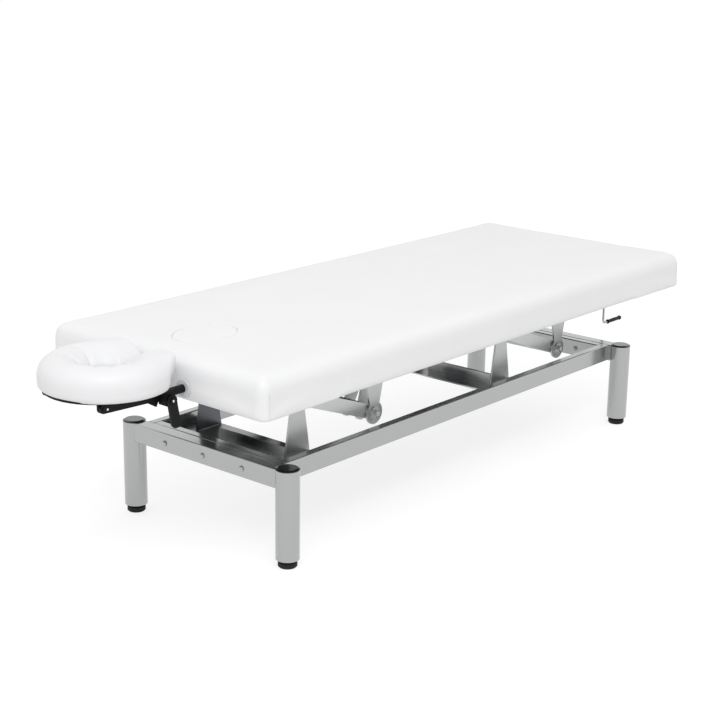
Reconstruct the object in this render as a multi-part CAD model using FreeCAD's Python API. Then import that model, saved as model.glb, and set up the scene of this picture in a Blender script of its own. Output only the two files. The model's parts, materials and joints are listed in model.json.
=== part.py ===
"""Height-adjustable treatment table.

A four-post steel base carries a parallelogram lift that a hand crank works through a spindle.
The lift holds a one-piece mattress with a face hole and plug, and a sliding, tilting face cradle.
Millimetres, +Z up, the floor at Z = 0.  The model is drawn about the middle of the base, +X to the
foot end and -Y to the side with the crank, and every piece is shifted along X at the end, so that
the origin is the middle of the whole table's footprint.
"""
import FreeCAD, Part
import math
import os

os.makedirs("parts", exist_ok=True)
V = FreeCAD.Vector

# Clearances and overruns
run_fit = 0.05
slide_fit = 0.1
side_gap = 0.5
soft_gap = 0.3
overrun = 2.0
quarter_turn = 90
full_turn = 360

# Base: posts, rails and feet
post_span_x = 1505.0
post_span_y = 546.0
post_d = 60.0
post_wall = 2.5
post_bottom = 21.0
post_top = 250.0
cap_lip = 1.6
cap_dome = 3.0
cap_flat_d = 48.0
cap_plug_h = 14.0
insert_h = 18.0
stud_d = 12.0
foot_pad_d = 48.0
foot_pad_h = 16.0
foot_chamfer = 3.0
foot_travel = 12.0
rail_h = 50.0
rail_bottom = 200.0
rail_wall = 2.5
cross_rail_w = 40.0
side_rail_w = 25.0
side_rail_set = 44.5
end_rail_w = 25.0
rail_corner = 3.0
frame_bolt_d = 8.0
frame_bolt_head_d = 15.0
frame_bolt_head_h = 5.0
frame_bolt_drop = 2.0
bolt_bevel = 2.5
frame_bolt_pitch = 137.0
frame_nut_d = 14.0
frame_nut_h = 7.0
weld_cleat_t = 4.0

# Lift: pivots, plates and arms
pivot_span = 868.0
head_pivot_set = 156.5
base_pivot_z = 368.0
arm_len = 319.0
rest_drop_deg = 20.3
lift_swing_deg = 58.0
unit_half_y = 158.0
plate_t = 6.0
arm_t = 8.0
arm_h = 38.0
beam_z = 219.0
beam_t = 4.0
beam_front = 60.0
beam_web_h = 29.0
beam_web_t = 3.0
beam_web_stop = 85.0
bracket_base_half = 44.5
bracket_top_r = 20.0
pivot_d = 16.0
pivot_head_d = 26.0
pivot_head_h = 9.0
pivot_washer_d = 36.0
pivot_washer_t = 2.5
pivot_nut_d = 24.0
pivot_nut_h = 10.0
hanger_eye_r = 31.0
hanger_waist_half = 19.5
hanger_waist_up = 27.0
hanger_top_half = 46.0
torsion_d = 38.0
torsion_wall = 3.0

# Top frame, board and mattress
mattress_head_x = -938.0
mattress_foot_x = 919.0
mattress_half_w = 372.0
mattress_bottom = 436.0
mattress_h = 96.0
mattress_crown = 4.0
mattress_corner_r = 27.0
mattress_edge_r = 30.0
mattress_foot_r = 6.0
mattress_side_draw = 5.0
mattress_end_draw = 3.0
pad_roll_shares = (0, 0.33, 0.67, 1)
pad_crown_shares = ((0.25, 0.45), (0.5, 0.8), (0.8, 1))
board_t = 12.0
board_inset = 58.0
board_corner_r = 30.0
top_rail_w = 30.0
top_rail_h = 30.0
top_rail_wall = 2.0
top_rail_head_x = -850.0
top_rail_foot_x = 866.0
head_cross_x = -640.0
bearing_cross_set = 143.2
mid_cross_x = 430.0
face_hole_x = -757.0
face_hole_len = 180.0
face_hole_w = 134.0
face_hole_end_share = 0.72
plug_gap = 1.2
plug_ledge = 10.0
plug_head_h = 2.0
plug_rise = 2.0
plug_taper_share = 0.96

# Spindle drive and crank
spindle_y = -91.0
spindle_z = 370.0
spindle_d = 18.0
thread_d = 20.0
nut_len = 40.0
nut_w = 40.0
nut_h = 34.0
trunnion_d = 16.0
horn_t = 6.0
horn_slot_play = 2.7
horn_edge = 9.0
horn_root_half = 42.0
bearing_len = 30.0
bearing_w = 50.0
bearing_below = 18.0
collar_d = 28.0
collar_len = 8.0
crank_reach = 23.0
crank_drop = 118.0
crank_rod_d = 7.0
crank_bend_r = 11.0
crank_hub_d = 24.0
crank_hub_len = 20.0
grip_start = 25.0
grip_len = 76.0
grip_mid_d = 11.0
grip_end_d = 15.0
grip_end_len = 8.0
grip_stop_h = 3.0
grip_stop_d = 12.0
open_pivot_fit = 0.25

# Face cradle
rod_y_off = 115.0
rod_z = 461.0
rod_d = 20.0
rod_inside = 220.0
socket_wall = 3.0
socket_len = 235.0
grommet_d = 45.0
grommet_t = 3.0
grommet_bevel = 1.6
saddle_len = 30.0
yoke_x = -990.0
yoke_z = 446.0
yoke_block_len = 30.0
yoke_block_w = 24.0
yoke_block_below = 13.0
yoke_shaft_d = 12.0
cradle_arm_t = 6.0
cradle_arm_gap = 0.6
cradle_arm_r = 13.0
cradle_hinge_x = -1167.0
cradle_hinge_z = 460.0
cradle_hinge_r = 10.5
hinge_pin_d = 10.0
cradle_wedge_x = -1011.0
cradle_wedge_z = 429.0
cradle_notch_x = -1004.0
cradle_notch_z = 444.0
lever_t = 7.0
lever_w = 26.0
lever_len = 68.0
lever_boss_r = 14.0
lever_lean = 12.0
platform_z = 472.0
platform_t = 8.0
platform_inset = 22.0
platform_shift = 12.0
platform_gap = 7.0
platform_open_grow = 8.0
platform_horn_r = 8.0
lug_t = 6.0
lug_r = 10.5
cushion_h = 72.0
cushion_r = 158.0
cushion_arc_x = -1072.0
cushion_end_x = -944.0
cushion_open_r = 54.0
cushion_gap_half = 20.0
cushion_horn_r = 35.0
cushion_edge_r = 33.0
cushion_foot_r = 10.0

# Worked out from the sizes above
post_x = post_span_x / 2
post_y = post_span_y / 2
side_rail_y = post_y - side_rail_set
head_pivot_x = head_pivot_set - post_x
rail_top = rail_bottom + rail_h
frame_bolt_z = rail_bottom + rail_h / 2 - frame_bolt_drop
foot_stud_top = post_bottom + insert_h + foot_travel
frame_x = post_x - cross_rail_w / 2
side_rail_in = side_rail_y - side_rail_w / 2
plate_in = unit_half_y - plate_t / 2
plate_out = unit_half_y + plate_t / 2
arm_out = plate_in - side_gap
arm_in = arm_out - arm_t
rest = math.radians(rest_drop_deg)
eye_dx = arm_len * math.cos(rest)
eye_z = base_pivot_z - arm_len * math.sin(rest)
head_eye_x = head_pivot_x + eye_dx
bearing_cross_x = head_eye_x - bearing_cross_set
foot_pivot_x = head_pivot_x + pivot_span
board_bottom = mattress_bottom - board_t
top_rail_bottom = board_bottom - top_rail_h
top_rail_in = unit_half_y - top_rail_w / 2
foot_cross_x = top_rail_foot_x - top_rail_w / 2
horn_lean = math.radians(lift_swing_deg / 2)
nut_above_eye = spindle_z - eye_z
nut_swing = nut_above_eye * math.tan(horn_lean)
nut_x = head_eye_x + nut_swing
horn_in = nut_w / 2 + side_gap
crank_x = mattress_foot_x + crank_reach
grip_x = crank_x + grip_start
grip_z = spindle_z - crank_drop
grip_end_x = grip_x + grip_len + grip_stop_h
cushion_bottom = platform_z + platform_t + soft_gap
cradle_tip_x = cushion_arc_x - cushion_r
arm_plane = rod_y_off - yoke_block_w / 2 - cradle_arm_gap
platform_end_x = yoke_x - yoke_block_len / 2 - platform_gap
x_shift = -(cradle_tip_x + grip_end_x) / 2


def box(x0, x1, y0, y1, z0, z1):
    """Block between two corners."""
    return Part.makeBox(x1 - x0, y1 - y0, z1 - z0, V(x0, y0, z0))


def rod_along_x(y, z, radius, x0, x1):
    return Part.makeCylinder(radius, x1 - x0, V(x0, y, z), V(1, 0, 0))


def rod_along_y(x, z, radius, y0, y1):
    return Part.makeCylinder(radius, y1 - y0, V(x, y0, z), V(0, 1, 0))


def rod_along_z(x, y, radius, z0, z1):
    return Part.makeCylinder(radius, z1 - z0, V(x, y, z0), V(0, 0, 1))


def hexagon(across):
    """Corners of a hexagon about zero, by its width across corners."""
    turns = [2 * math.pi * step / 6 for step in range(6)]
    return [(across / 2 * math.cos(turn), across / 2 * math.sin(turn)) for turn in turns]


def upright_plate(points, y0, y1):
    """Flat plate with an outline of (x, z) points, from y0 to y1."""
    wire = Part.makePolygon([V(x, y0, z) for x, z in points + points[:1]])
    return Part.Face(wire).extrude(V(0, y1 - y0, 0))


def flipped(shape):
    """The same piece on the other side of the table."""
    return shape.mirror(V(0, 0, 0), V(0, 1, 0))


def hexagon_along_y(x, z, across, y0, y1):
    """Hexagon nut or bolt head with its axis along Y, by its width across corners."""
    return upright_plate([(x + dx, z + dz) for dx, dz in hexagon(across)], y0, y1)


def tube_box(x0, x1, y0, y1, z0, z1, wall, along):
    """Rectangular tube, open at both ends, along 'x' or 'y'."""
    outer = box(x0, x1, y0, y1, z0, z1)
    edges = [edge for edge in outer.Edges if runs_along(edge, along)]
    outer = outer.makeFillet(rail_corner, edges)
    if along == "x":
        inner = box(x0 - overrun, x1 + overrun, y0 + wall, y1 - wall, z0 + wall, z1 - wall)
    else:
        inner = box(x0 + wall, x1 - wall, y0 - overrun, y1 + overrun, z0 + wall, z1 - wall)
    return outer.cut(inner)


def runs_along(edge, along):
    """True if a straight edge runs along the named axis."""
    ends = edge.Vertexes[1].Point - edge.Vertexes[0].Point
    size = {"x": abs(ends.x), "y": abs(ends.y), "z": abs(ends.z)}
    return size[along] > max(size[other] for other in size if other != along)


def emit(name, shape):
    """Shift a piece to the table's own origin and write it."""
    moved = shape.copy()
    moved.translate(V(x_shift, 0, 0))
    moved.exportStep("parts/" + name + ".step")


def group(shapes):
    return Part.makeCompound(shapes)


# Base

def corner_places():
    for end, sx in (("head", -1), ("foot", 1)):
        for side, sy in (("near", -1), ("far", 1)):
            yield end + "_" + side, sx * post_x, sy * post_y


def post(x, y):
    outer = rod_along_z(x, y, post_d / 2, post_bottom, post_top)
    inner = rod_along_z(x, y, post_d / 2 - post_wall, post_bottom - overrun, post_top + overrun)
    return outer.cut(inner)


def post_cap(x, y):
    """Cap with a sloping rim and a plug that sits inside the post."""
    lip = rod_along_z(x, y, post_d / 2, post_top, post_top + cap_lip)
    dome = Part.makeCone(post_d / 2, cap_flat_d / 2, cap_dome, V(x, y, post_top + cap_lip))
    plug_r = post_d / 2 - post_wall - slide_fit
    plug = rod_along_z(x, y, plug_r, post_top - cap_plug_h, post_top)
    hollow = rod_along_z(x, y, plug_r - post_wall, post_top - cap_plug_h - overrun, post_top)
    return lip.fuse(dome).fuse(plug.cut(hollow)).removeSplitter()


def post_insert(x, y):
    """Threaded insert pressed into the foot of a post."""
    body = rod_along_z(x, y, post_d / 2 - post_wall, post_bottom, post_bottom + insert_h)
    return body.cut(rod_along_z(x, y, stud_d / 2 + run_fit, post_bottom - overrun,
                                post_bottom + insert_h + overrun))


def levelling_foot(x, y):
    """Pad with chamfered rims, a neck and the stud that screws into the insert."""
    pad = rod_along_z(x, y, foot_pad_d / 2, 0, foot_pad_h)
    rims = [edge for edge in pad.Edges if isinstance(edge.Curve, Part.Circle)]
    pad = pad.makeChamfer(foot_chamfer, rims)
    neck = rod_along_z(x, y, foot_pad_d / 4, foot_pad_h, post_bottom - side_gap)
    stud = rod_along_z(x, y, stud_d / 2, foot_pad_h / 2, foot_stud_top)
    return pad.fuse(neck).fuse(stud).removeSplitter()


def post_clearances():
    """Solid posts, used to cope the ends of the cross rails."""
    return group([rod_along_z(x, y, post_d / 2, post_bottom, post_top) for _, x, y in corner_places()])


def bolt_rows():
    for row in (-1, 0, 1):
        yield row * frame_bolt_pitch


def cross_rail(sign):
    """Outer end rail between two posts, coped to them and drilled for the frame bolts."""
    x0, x1 = sorted((sign * frame_x, sign * (frame_x + cross_rail_w)))
    rail = tube_box(x0, x1, -post_y, post_y, rail_bottom, rail_top, rail_wall, "y")
    rail = rail.cut(post_clearances())
    rail = max(rail.Solids, key=lambda solid: solid.Volume)
    for y in bolt_rows():
        rail = rail.cut(rod_along_x(y, frame_bolt_z, frame_bolt_d / 2 + slide_fit, x0 - overrun,
                                    x1 + overrun))
    return rail


def inner_end_rail(sign):
    """End rail of the inner frame, bolted back to back with the outer cross rail."""
    x0, x1 = sorted((sign * frame_x, sign * (frame_x - end_rail_w)))
    rail = tube_box(x0, x1, -side_rail_in, side_rail_in, rail_bottom, rail_top, rail_wall, "y")
    for y in bolt_rows():
        rail = rail.cut(rod_along_x(y, frame_bolt_z, frame_bolt_d / 2 + slide_fit, x0 - overrun,
                                    x1 + overrun))
    return rail


def side_rail(sign):
    y0, y1 = sorted((sign * side_rail_in, sign * (side_rail_in + side_rail_w)))
    return tube_box(-frame_x, frame_x, y0, y1, rail_bottom, rail_top, rail_wall, "x")


def frame_bolt(sign, y):
    """Round-headed bolt through the outer and inner end rails, with its nut inside."""
    z = frame_bolt_z
    face = frame_x + cross_rail_w
    back = frame_x - end_rail_w
    shank = rod_along_x(y, z, frame_bolt_d / 2, back - frame_nut_h - overrun, face)
    head = rod_along_x(y, z, frame_bolt_head_d / 2, face, face + frame_bolt_head_h)
    rim = [edge for edge in head.Edges if isinstance(edge.Curve, Part.Circle)
           and edge.Curve.Center.x > face + frame_bolt_head_h / 2]
    head = head.makeChamfer(bolt_bevel, rim)
    bolt = shank.fuse(head)
    corners = [V(back, y + dy, z + dz) for dy, dz in hexagon(frame_nut_d)]
    nut = Part.Face(Part.makePolygon(corners + corners[:1])).extrude(V(-frame_nut_h, 0, 0))
    nut = nut.cut(rod_along_x(y, z, frame_bolt_d / 2, back - frame_nut_h - overrun, back + overrun))
    pair = group([bolt, nut])
    if sign < 0:
        pair = pair.mirror(V(0, 0, 0), V(1, 0, 0))
    return pair


def pivot_beam(pivot_x):
    """Cross plate between the side rails with an upright web that stops short of the far bracket."""
    front = pivot_x - bracket_base_half
    plate = box(front - beam_front, pivot_x + bracket_base_half, -side_rail_in, side_rail_in,
                beam_z - beam_t, beam_z)
    web = box(front, front + beam_web_t, -plate_in, plate_in - beam_web_stop, beam_z, beam_z + beam_web_h)
    for side in (-1, 1):
        y0, y1 = sorted((side * side_rail_in, side * (side_rail_in - weld_cleat_t)))
        cleat = box(front - beam_front, pivot_x + bracket_base_half, y0, y1,
                    rail_bottom, beam_z - beam_t)
        plate = plate.fuse(cleat)
    return plate.fuse(web).removeSplitter()


def pivot_bracket(pivot_x, sign):
    """Upright tapered plate on the beam, rounded about its pivot hole."""
    y0, y1 = sorted((sign * plate_in, sign * plate_out))
    outline = [(pivot_x - bracket_base_half, beam_z), (pivot_x + bracket_base_half, beam_z),
               (pivot_x + bracket_top_r, base_pivot_z), (pivot_x - bracket_top_r, base_pivot_z)]
    plate = upright_plate(outline, y0, y1)
    plate = plate.fuse(rod_along_y(pivot_x, base_pivot_z, bracket_top_r, y0, y1)).removeSplitter()
    return plate.cut(rod_along_y(pivot_x, base_pivot_z, pivot_d / 2 + run_fit, y0 - overrun, y1 + overrun))


def pivot_bolt(x, z, sign):
    """Shoulder bolt through a plate and an arm, with its washer outside and its nut inside."""
    head_from = plate_out + pivot_washer_t
    washer = rod_along_y(x, z, pivot_washer_d / 2, plate_out, head_from)
    washer = washer.cut(rod_along_y(x, z, pivot_d / 2, plate_out - overrun, head_from + overrun))
    head = hexagon_along_y(x, z, pivot_head_d, head_from, head_from + pivot_head_h)
    nut_to = arm_in - soft_gap
    shank = rod_along_y(x, z, pivot_d / 2, nut_to - pivot_nut_h, head_from)
    bolt = head.fuse(shank)
    nut = hexagon_along_y(x, z, pivot_nut_d, nut_to - pivot_nut_h, nut_to)
    nut = nut.cut(rod_along_y(x, z, pivot_d / 2, nut_to - pivot_nut_h - overrun, nut_to + overrun))
    made = group([bolt, washer, nut])
    return made if sign > 0 else flipped(made)


# Lift arms

def lift_arm(pivot_x, sign, eye_fit):
    """Flat bar with rounded ends from a base pivot down to its hanger's eye."""
    y0, y1 = sorted((sign * arm_in, sign * arm_out))
    eye_x, low_z = pivot_x + eye_dx, eye_z
    half = arm_h / 2
    up_x, up_z = half * math.sin(rest), half * math.cos(rest)
    outline = [(pivot_x + up_x, base_pivot_z + up_z), (eye_x + up_x, low_z + up_z),
               (eye_x - up_x, low_z - up_z), (pivot_x - up_x, base_pivot_z - up_z)]
    arm = upright_plate(outline, y0, y1)
    for x, z in ((pivot_x, base_pivot_z), (eye_x, low_z)):
        arm = arm.fuse(rod_along_y(x, z, half, y0, y1))
    arm = arm.removeSplitter()
    for x, z, fit in ((pivot_x, base_pivot_z, run_fit), (eye_x, low_z, eye_fit)):
        arm = arm.cut(rod_along_y(x, z, pivot_d / 2 + fit, y0 - overrun, y1 + overrun))
    return arm


def torsion_tube(eye_x):
    """Tube between the two arms at the eyes, which keeps them in step."""
    tube = rod_along_y(eye_x, eye_z, torsion_d / 2, -arm_in, arm_in)
    return tube.cut(rod_along_y(eye_x, eye_z, torsion_d / 2 - torsion_wall, -arm_in - overrun,
                                arm_in + overrun))


def drive_horn(y0, y1):
    """Slotted lever on the torsion tube, leaning to the foot end while the table is low."""
    lean_x, lean_z = math.sin(horn_lean), math.cos(horn_lean)
    low = nut_above_eye
    high = nut_above_eye / math.cos(horn_lean)
    slot_r = trunnion_d / 2 + horn_slot_play
    tip_r = slot_r + horn_edge

    def at(along, across):
        return (head_eye_x + along * lean_x + across * lean_z, eye_z + along * lean_z - across * lean_x)

    root = torsion_d / 2
    outline = [at(0, -root), at(low / 2, -horn_root_half + root / 2), at(high, -tip_r), at(high, tip_r),
               at(0, root)]
    plate = upright_plate(outline, y0, y1)
    top_x, top_z = at(high, 0)
    plate = plate.fuse(rod_along_y(top_x, top_z, tip_r, y0, y1))
    plate = plate.fuse(rod_along_y(head_eye_x, eye_z, torsion_d / 2 + horn_edge, y0, y1)).removeSplitter()
    slot = upright_plate([at(low, -slot_r), at(high, -slot_r), at(high, slot_r), at(low, slot_r)],
                         y0 - overrun, y1 + overrun)
    for along in (low, high):
        x, z = at(along, 0)
        slot = slot.fuse(rod_along_y(x, z, slot_r, y0 - overrun, y1 + overrun))
    plate = plate.cut(slot)
    return plate.cut(rod_along_y(head_eye_x, eye_z, torsion_d / 2, y0 - overrun, y1 + overrun))


def hanger(eye_x, sign):
    """Tapered plate under the top rail that ends in a round eye."""
    y0, y1 = sorted((sign * plate_in, sign * plate_out))
    outline = [(eye_x - hanger_waist_half, eye_z), (eye_x + hanger_waist_half, eye_z),
               (eye_x + hanger_waist_half, eye_z + hanger_waist_up),
               (eye_x + hanger_top_half, top_rail_bottom), (eye_x - hanger_top_half, top_rail_bottom),
               (eye_x - hanger_waist_half, eye_z + hanger_waist_up)]
    plate = upright_plate(outline, y0, y1)
    plate = plate.fuse(rod_along_y(eye_x, eye_z, hanger_eye_r, y0, y1)).removeSplitter()
    return plate.cut(rod_along_y(eye_x, eye_z, pivot_d / 2 + run_fit, y0 - overrun, y1 + overrun))


# Top frame and mattress

def top_rail(sign):
    y0, y1 = sorted((sign * top_rail_in, sign * (top_rail_in + top_rail_w)))
    return tube_box(top_rail_head_x, top_rail_foot_x, y0, y1, top_rail_bottom, board_bottom,
                    top_rail_wall, "x")


def top_cross_rail(x):
    half = top_rail_w / 2
    return tube_box(x - half, x + half, -top_rail_in, top_rail_in, top_rail_bottom, board_bottom,
                    top_rail_wall, "y")


def oval(grow, z0, z1):
    """Oval block about the face hole, from two end arcs and two flatter side arcs."""
    half_len, half_w = face_hole_len / 2, face_hole_w / 2
    end_r = half_w * face_hole_end_share
    end_off = half_len - end_r
    flat = half_w - end_r
    side_off = (end_off ** 2 - flat ** 2) / (2 * flat)
    side_r = half_w + side_off + grow
    end_r += grow
    reach = math.hypot(end_off, side_off)
    join_x, join_y = end_off * side_r / reach, side_off * (side_r / reach - 1)

    def at(x, y):
        return V(face_hole_x + x, y, z0)

    edges = [arc_edge(at(join_x, -join_y), at(end_off + end_r, 0), at(join_x, join_y)),
             arc_edge(at(join_x, join_y), at(0, half_w + grow), at(-join_x, join_y)),
             arc_edge(at(-join_x, join_y), at(-end_off - end_r, 0), at(-join_x, -join_y)),
             arc_edge(at(-join_x, -join_y), at(0, -half_w - grow), at(join_x, -join_y))]
    return Part.Face(Part.Wire(edges)).extrude(V(0, 0, z1 - z0))


def rounded_slab(x0, x1, half_y, corner_r, z0, z1):
    slab = box(x0, x1, -half_y, half_y, z0, z1)
    return slab.makeFillet(corner_r, [edge for edge in slab.Edges if runs_along(edge, "z")])


def board():
    slab = rounded_slab(mattress_head_x + board_inset, mattress_foot_x - board_inset,
                        mattress_half_w - board_inset, board_corner_r, board_bottom, mattress_bottom)
    return slab.cut(oval(-plug_ledge, board_bottom - overrun, mattress_bottom + overrun))


def arc_edge(a, middle, b):
    return Part.Arc(a, middle, b).toShape()


def pad_outline(inset, z):
    """Plan outline of the pad, whose four sides draw in between its rounded corners."""
    x0, x1, half = mattress_head_x + inset, mattress_foot_x - inset, mattress_half_w - inset
    corner = max(mattress_corner_r - inset, mattress_foot_r)
    middle = (x0 + x1) / 2
    cut = corner * (1 - math.sqrt(0.5))
    long_end, short_end = x1 - corner, half - corner

    def at(x, y):
        return V(x, y, z)

    near = [arc_edge(at(x0, -short_end), at(x0 + cut, cut - half), at(x0 + corner, -half)),
            arc_edge(at(x0 + corner, -half), at(middle, mattress_side_draw - half), at(long_end, -half)),
            arc_edge(at(long_end, -half), at(x1 - cut, cut - half), at(x1, -short_end)),
            arc_edge(at(x1, -short_end), at(x1 - mattress_end_draw, 0), at(x1, short_end))]
    far = [arc_edge(at(x1, short_end), at(x1 - cut, half - cut), at(long_end, half)),
           arc_edge(at(long_end, half), at(middle, half - mattress_side_draw), at(x0 + corner, half)),
           arc_edge(at(x0 + corner, half), at(x0 + cut, half - cut), at(x0, short_end)),
           arc_edge(at(x0, short_end), at(x0 + mattress_end_draw, 0), at(x0, -short_end))]
    return Part.Wire(near + far)


def pad_sections():
    """Insets and heights of the pad's outlines, from its foot round its top edge and up its crown."""
    low, high = mattress_bottom, mattress_bottom + mattress_h
    foot, edge = mattress_foot_r, mattress_edge_r
    yield foot, low
    yield foot * (1 - math.sqrt(0.5)), low + foot * (1 - math.sqrt(0.5))
    yield 0, low + foot
    yield 0, (low + high) / 2
    for share in pad_roll_shares:
        turn = share * math.pi / 2
        yield edge * (1 - math.cos(turn)), high - edge * (1 - math.sin(turn))
    for inset_share, rise_share in pad_crown_shares:
        yield mattress_half_w * inset_share, high + mattress_crown * rise_share


def mattress():
    """Crowned pad with drawn-in sides, a face hole and channels for the cradle's sockets."""
    pad = Part.makeLoft([pad_outline(inset, z) for inset, z in pad_sections()], True, True)
    pad = pad.cut(oval(0, mattress_bottom - overrun, mattress_bottom + 2 * mattress_h))
    for side in (-1, 1):
        pad = pad.cut(socket_channel(side))
    return pad


def face_plug():
    """Oval plug with a sloping rim, which fills the face hole and lifts out."""
    top = mattress_bottom + mattress_h + mattress_crown
    low = oval(-plug_gap - face_hole_w * (1 - plug_taper_share) / 2, mattress_bottom + soft_gap,
               mattress_bottom + mattress_h / 2)
    high = oval(-plug_gap, mattress_bottom + mattress_h / 2, top + plug_rise)
    rims = [edge for edge in high.Edges if edge.BoundBox.ZMin > top]
    high = high.makeChamfer(plug_rise + plug_head_h, rims)
    return low.fuse(high).removeSplitter()


# Spindle drive

def spindle():
    """Shaft with its threaded length at the head end, two collars and the crank's seat."""
    head_block = bearing_cross_x - bearing_len / 2
    foot_block = foot_cross_x + bearing_len / 2
    start = head_block - collar_len - overrun
    shaft = rod_along_x(spindle_y, spindle_z, spindle_d / 2, start, crank_x + crank_hub_len / 2)
    thread = rod_along_x(spindle_y, spindle_z, thread_d / 2, bearing_cross_x + bearing_len / 2 + overrun,
                         nut_x + nut_len)
    shaft = shaft.fuse(thread)
    for x0 in (foot_block + side_gap, foot_cross_x - bearing_len / 2 - side_gap - collar_len):
        shaft = shaft.fuse(rod_along_x(spindle_y, spindle_z, collar_d / 2, x0, x0 + collar_len))
    return shaft.removeSplitter()


def spindle_nut():
    """Block on the thread with two trunnions that ride in the horns' slots."""
    half = nut_w / 2
    block = box(nut_x - nut_len / 2, nut_x + nut_len / 2, spindle_y - half, spindle_y + half,
                spindle_z - nut_h / 2, spindle_z + nut_h / 2)
    block = block.makeChamfer(overrun, [edge for edge in block.Edges if runs_along(edge, "x")])
    reach = horn_in + horn_t + overrun
    trunnion = rod_along_y(nut_x, spindle_z, trunnion_d / 2, spindle_y - reach, spindle_y + reach)
    block = block.fuse(trunnion).removeSplitter()
    return block.cut(rod_along_x(spindle_y, spindle_z, thread_d / 2 + run_fit, nut_x - nut_len,
                                 nut_x + nut_len))


def bearing_block(x):
    half = bearing_w / 2
    low = spindle_z - bearing_below
    block = box(x - bearing_len / 2, x + bearing_len / 2, spindle_y - half, spindle_y + half,
                low, top_rail_bottom)
    edges = [edge for edge in block.Edges if runs_along(edge, "x") and edge.BoundBox.ZMax < low + overrun]
    block = block.makeFillet(bearing_below / 2, edges)
    return block.cut(rod_along_x(spindle_y, spindle_z, spindle_d / 2 + run_fit, x - bearing_len,
                                 x + bearing_len))


def crank_arm():
    """Hub on the shaft and one bent rod, down and then out along the grip."""
    hub = rod_along_x(spindle_y, spindle_z, crank_hub_d / 2, crank_x - crank_hub_len / 2,
                      crank_x + crank_hub_len / 2)
    radius = crank_rod_d / 2
    bend_z = grip_z + crank_bend_r
    down = rod_along_z(crank_x, spindle_y, radius, bend_z, spindle_z)
    out = rod_along_x(spindle_y, grip_z, radius, crank_x + crank_bend_r, grip_x + grip_len)
    section = Part.Wire([Part.Circle(V(crank_x, spindle_y, bend_z), V(0, 0, 1), radius).toShape()])
    elbow = Part.Face(section).revolve(V(crank_x + crank_bend_r, spindle_y, bend_z), V(0, -1, 0),
                                       quarter_turn)
    stop = rod_along_x(spindle_y, grip_z, grip_stop_d / 2, grip_x + grip_len + side_gap / 2,
                       grip_end_x)
    neck = rod_along_x(spindle_y, grip_z, radius, grip_x + grip_len, grip_x + grip_len + side_gap / 2)
    arm = hub.fuse(down).fuse(elbow).fuse(out).fuse(neck).fuse(stop).removeSplitter()
    return arm.cut(rod_along_x(spindle_y, spindle_z, spindle_d / 2, crank_x - crank_hub_len,
                               crank_x + crank_hub_len))


def crank_grip():
    """Free-turning sleeve, flared at both ends."""
    x1 = grip_x + grip_len
    mid, wide, flare = grip_mid_d / 2, grip_end_d / 2, grip_end_len
    bore = crank_rod_d / 2 + run_fit
    z = grip_z
    bottom = V(grip_x, spindle_y, z + bore)
    rise = wide - mid
    points = [bottom, V(grip_x, spindle_y, z + wide - rise / 2), V(grip_x + flare / 3, spindle_y, z + wide),
              V(grip_x + flare, spindle_y, z + mid), V(x1 - flare, spindle_y, z + mid),
              V(x1 - flare / 3, spindle_y, z + wide), V(x1, spindle_y, z + wide - rise / 2),
              V(x1, spindle_y, z + bore)]
    middle = V((grip_x + x1) / 2, spindle_y, z + mid + rise / 3)
    edges = [Part.makeLine(points[0], points[1]), Part.makeLine(points[1], points[2]),
             Part.makeLine(points[2], points[3]), arc_edge(points[3], middle, points[4]),
             Part.makeLine(points[4], points[5]), Part.makeLine(points[5], points[6]),
             Part.makeLine(points[6], points[7]), Part.makeLine(points[7], points[0])]
    return Part.Face(Part.Wire(edges)).revolve(V(grip_x, spindle_y, z), V(1, 0, 0), full_turn)


# Face cradle

socket_r = rod_d / 2 + slide_fit + socket_wall
socket_end_x = mattress_head_x + socket_len


def socket_channel(side):
    """Room in the pad for a socket tube and its saddles."""
    y = side * rod_y_off
    hole = rod_along_x(y, rod_z, socket_r + soft_gap, mattress_head_x - overrun, socket_end_x + soft_gap)
    half = socket_r + soft_gap
    slot = box(mattress_head_x + saddle_len - soft_gap, socket_end_x + soft_gap, y - half, y + half,
               mattress_bottom - overrun, rod_z)
    return hole.fuse(slot)


def cradle_socket(side):
    """Tube in the pad, on two saddles that are screwed to the board."""
    y = side * rod_y_off
    tube = rod_along_x(y, rod_z, socket_r, mattress_head_x, socket_end_x)
    for x0 in (mattress_head_x + saddle_len, socket_end_x - saddle_len):
        tube = tube.fuse(box(x0, x0 + saddle_len, y - socket_r, y + socket_r, mattress_bottom, rod_z))
    tube = tube.removeSplitter()
    return tube.cut(rod_along_x(y, rod_z, rod_d / 2 + slide_fit, mattress_head_x - overrun,
                                socket_end_x + overrun))


def grommet(side):
    """Ring on the pad's head face, where a cradle rod goes in."""
    y = side * rod_y_off
    ring = rod_along_x(y, rod_z, grommet_d / 2, mattress_head_x - grommet_t, mattress_head_x)
    rim = [edge for edge in ring.Edges if isinstance(edge.Curve, Part.Circle)
           and edge.Curve.Center.x < mattress_head_x - grommet_t / 2]
    ring = ring.makeChamfer(grommet_bevel, rim)
    return ring.cut(rod_along_x(y, rod_z, rod_d / 2 + slide_fit, mattress_head_x - 2 * grommet_t,
                                mattress_head_x + overrun))


def cradle_slide():
    """Two rods, each with a block at its outer end, joined by the yoke shaft."""
    shaft = rod_along_y(yoke_x, yoke_z, yoke_shaft_d / 2, -rod_y_off, rod_y_off)
    whole = shaft
    for side in (-1, 1):
        y = side * rod_y_off
        half = yoke_block_w / 2
        rod = rod_along_x(y, rod_z, rod_d / 2, yoke_x, mattress_head_x + rod_inside)
        block = box(yoke_x - yoke_block_len / 2, yoke_x + yoke_block_len / 2, y - half, y + half,
                    yoke_z - yoke_block_below, rod_z + rod_d / 2)
        block = block.makeFillet(rod_d / 4, [edge for edge in block.Edges if runs_along(edge, "y")])
        whole = whole.fuse(rod).fuse(block)
    return whole.removeSplitter()


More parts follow.
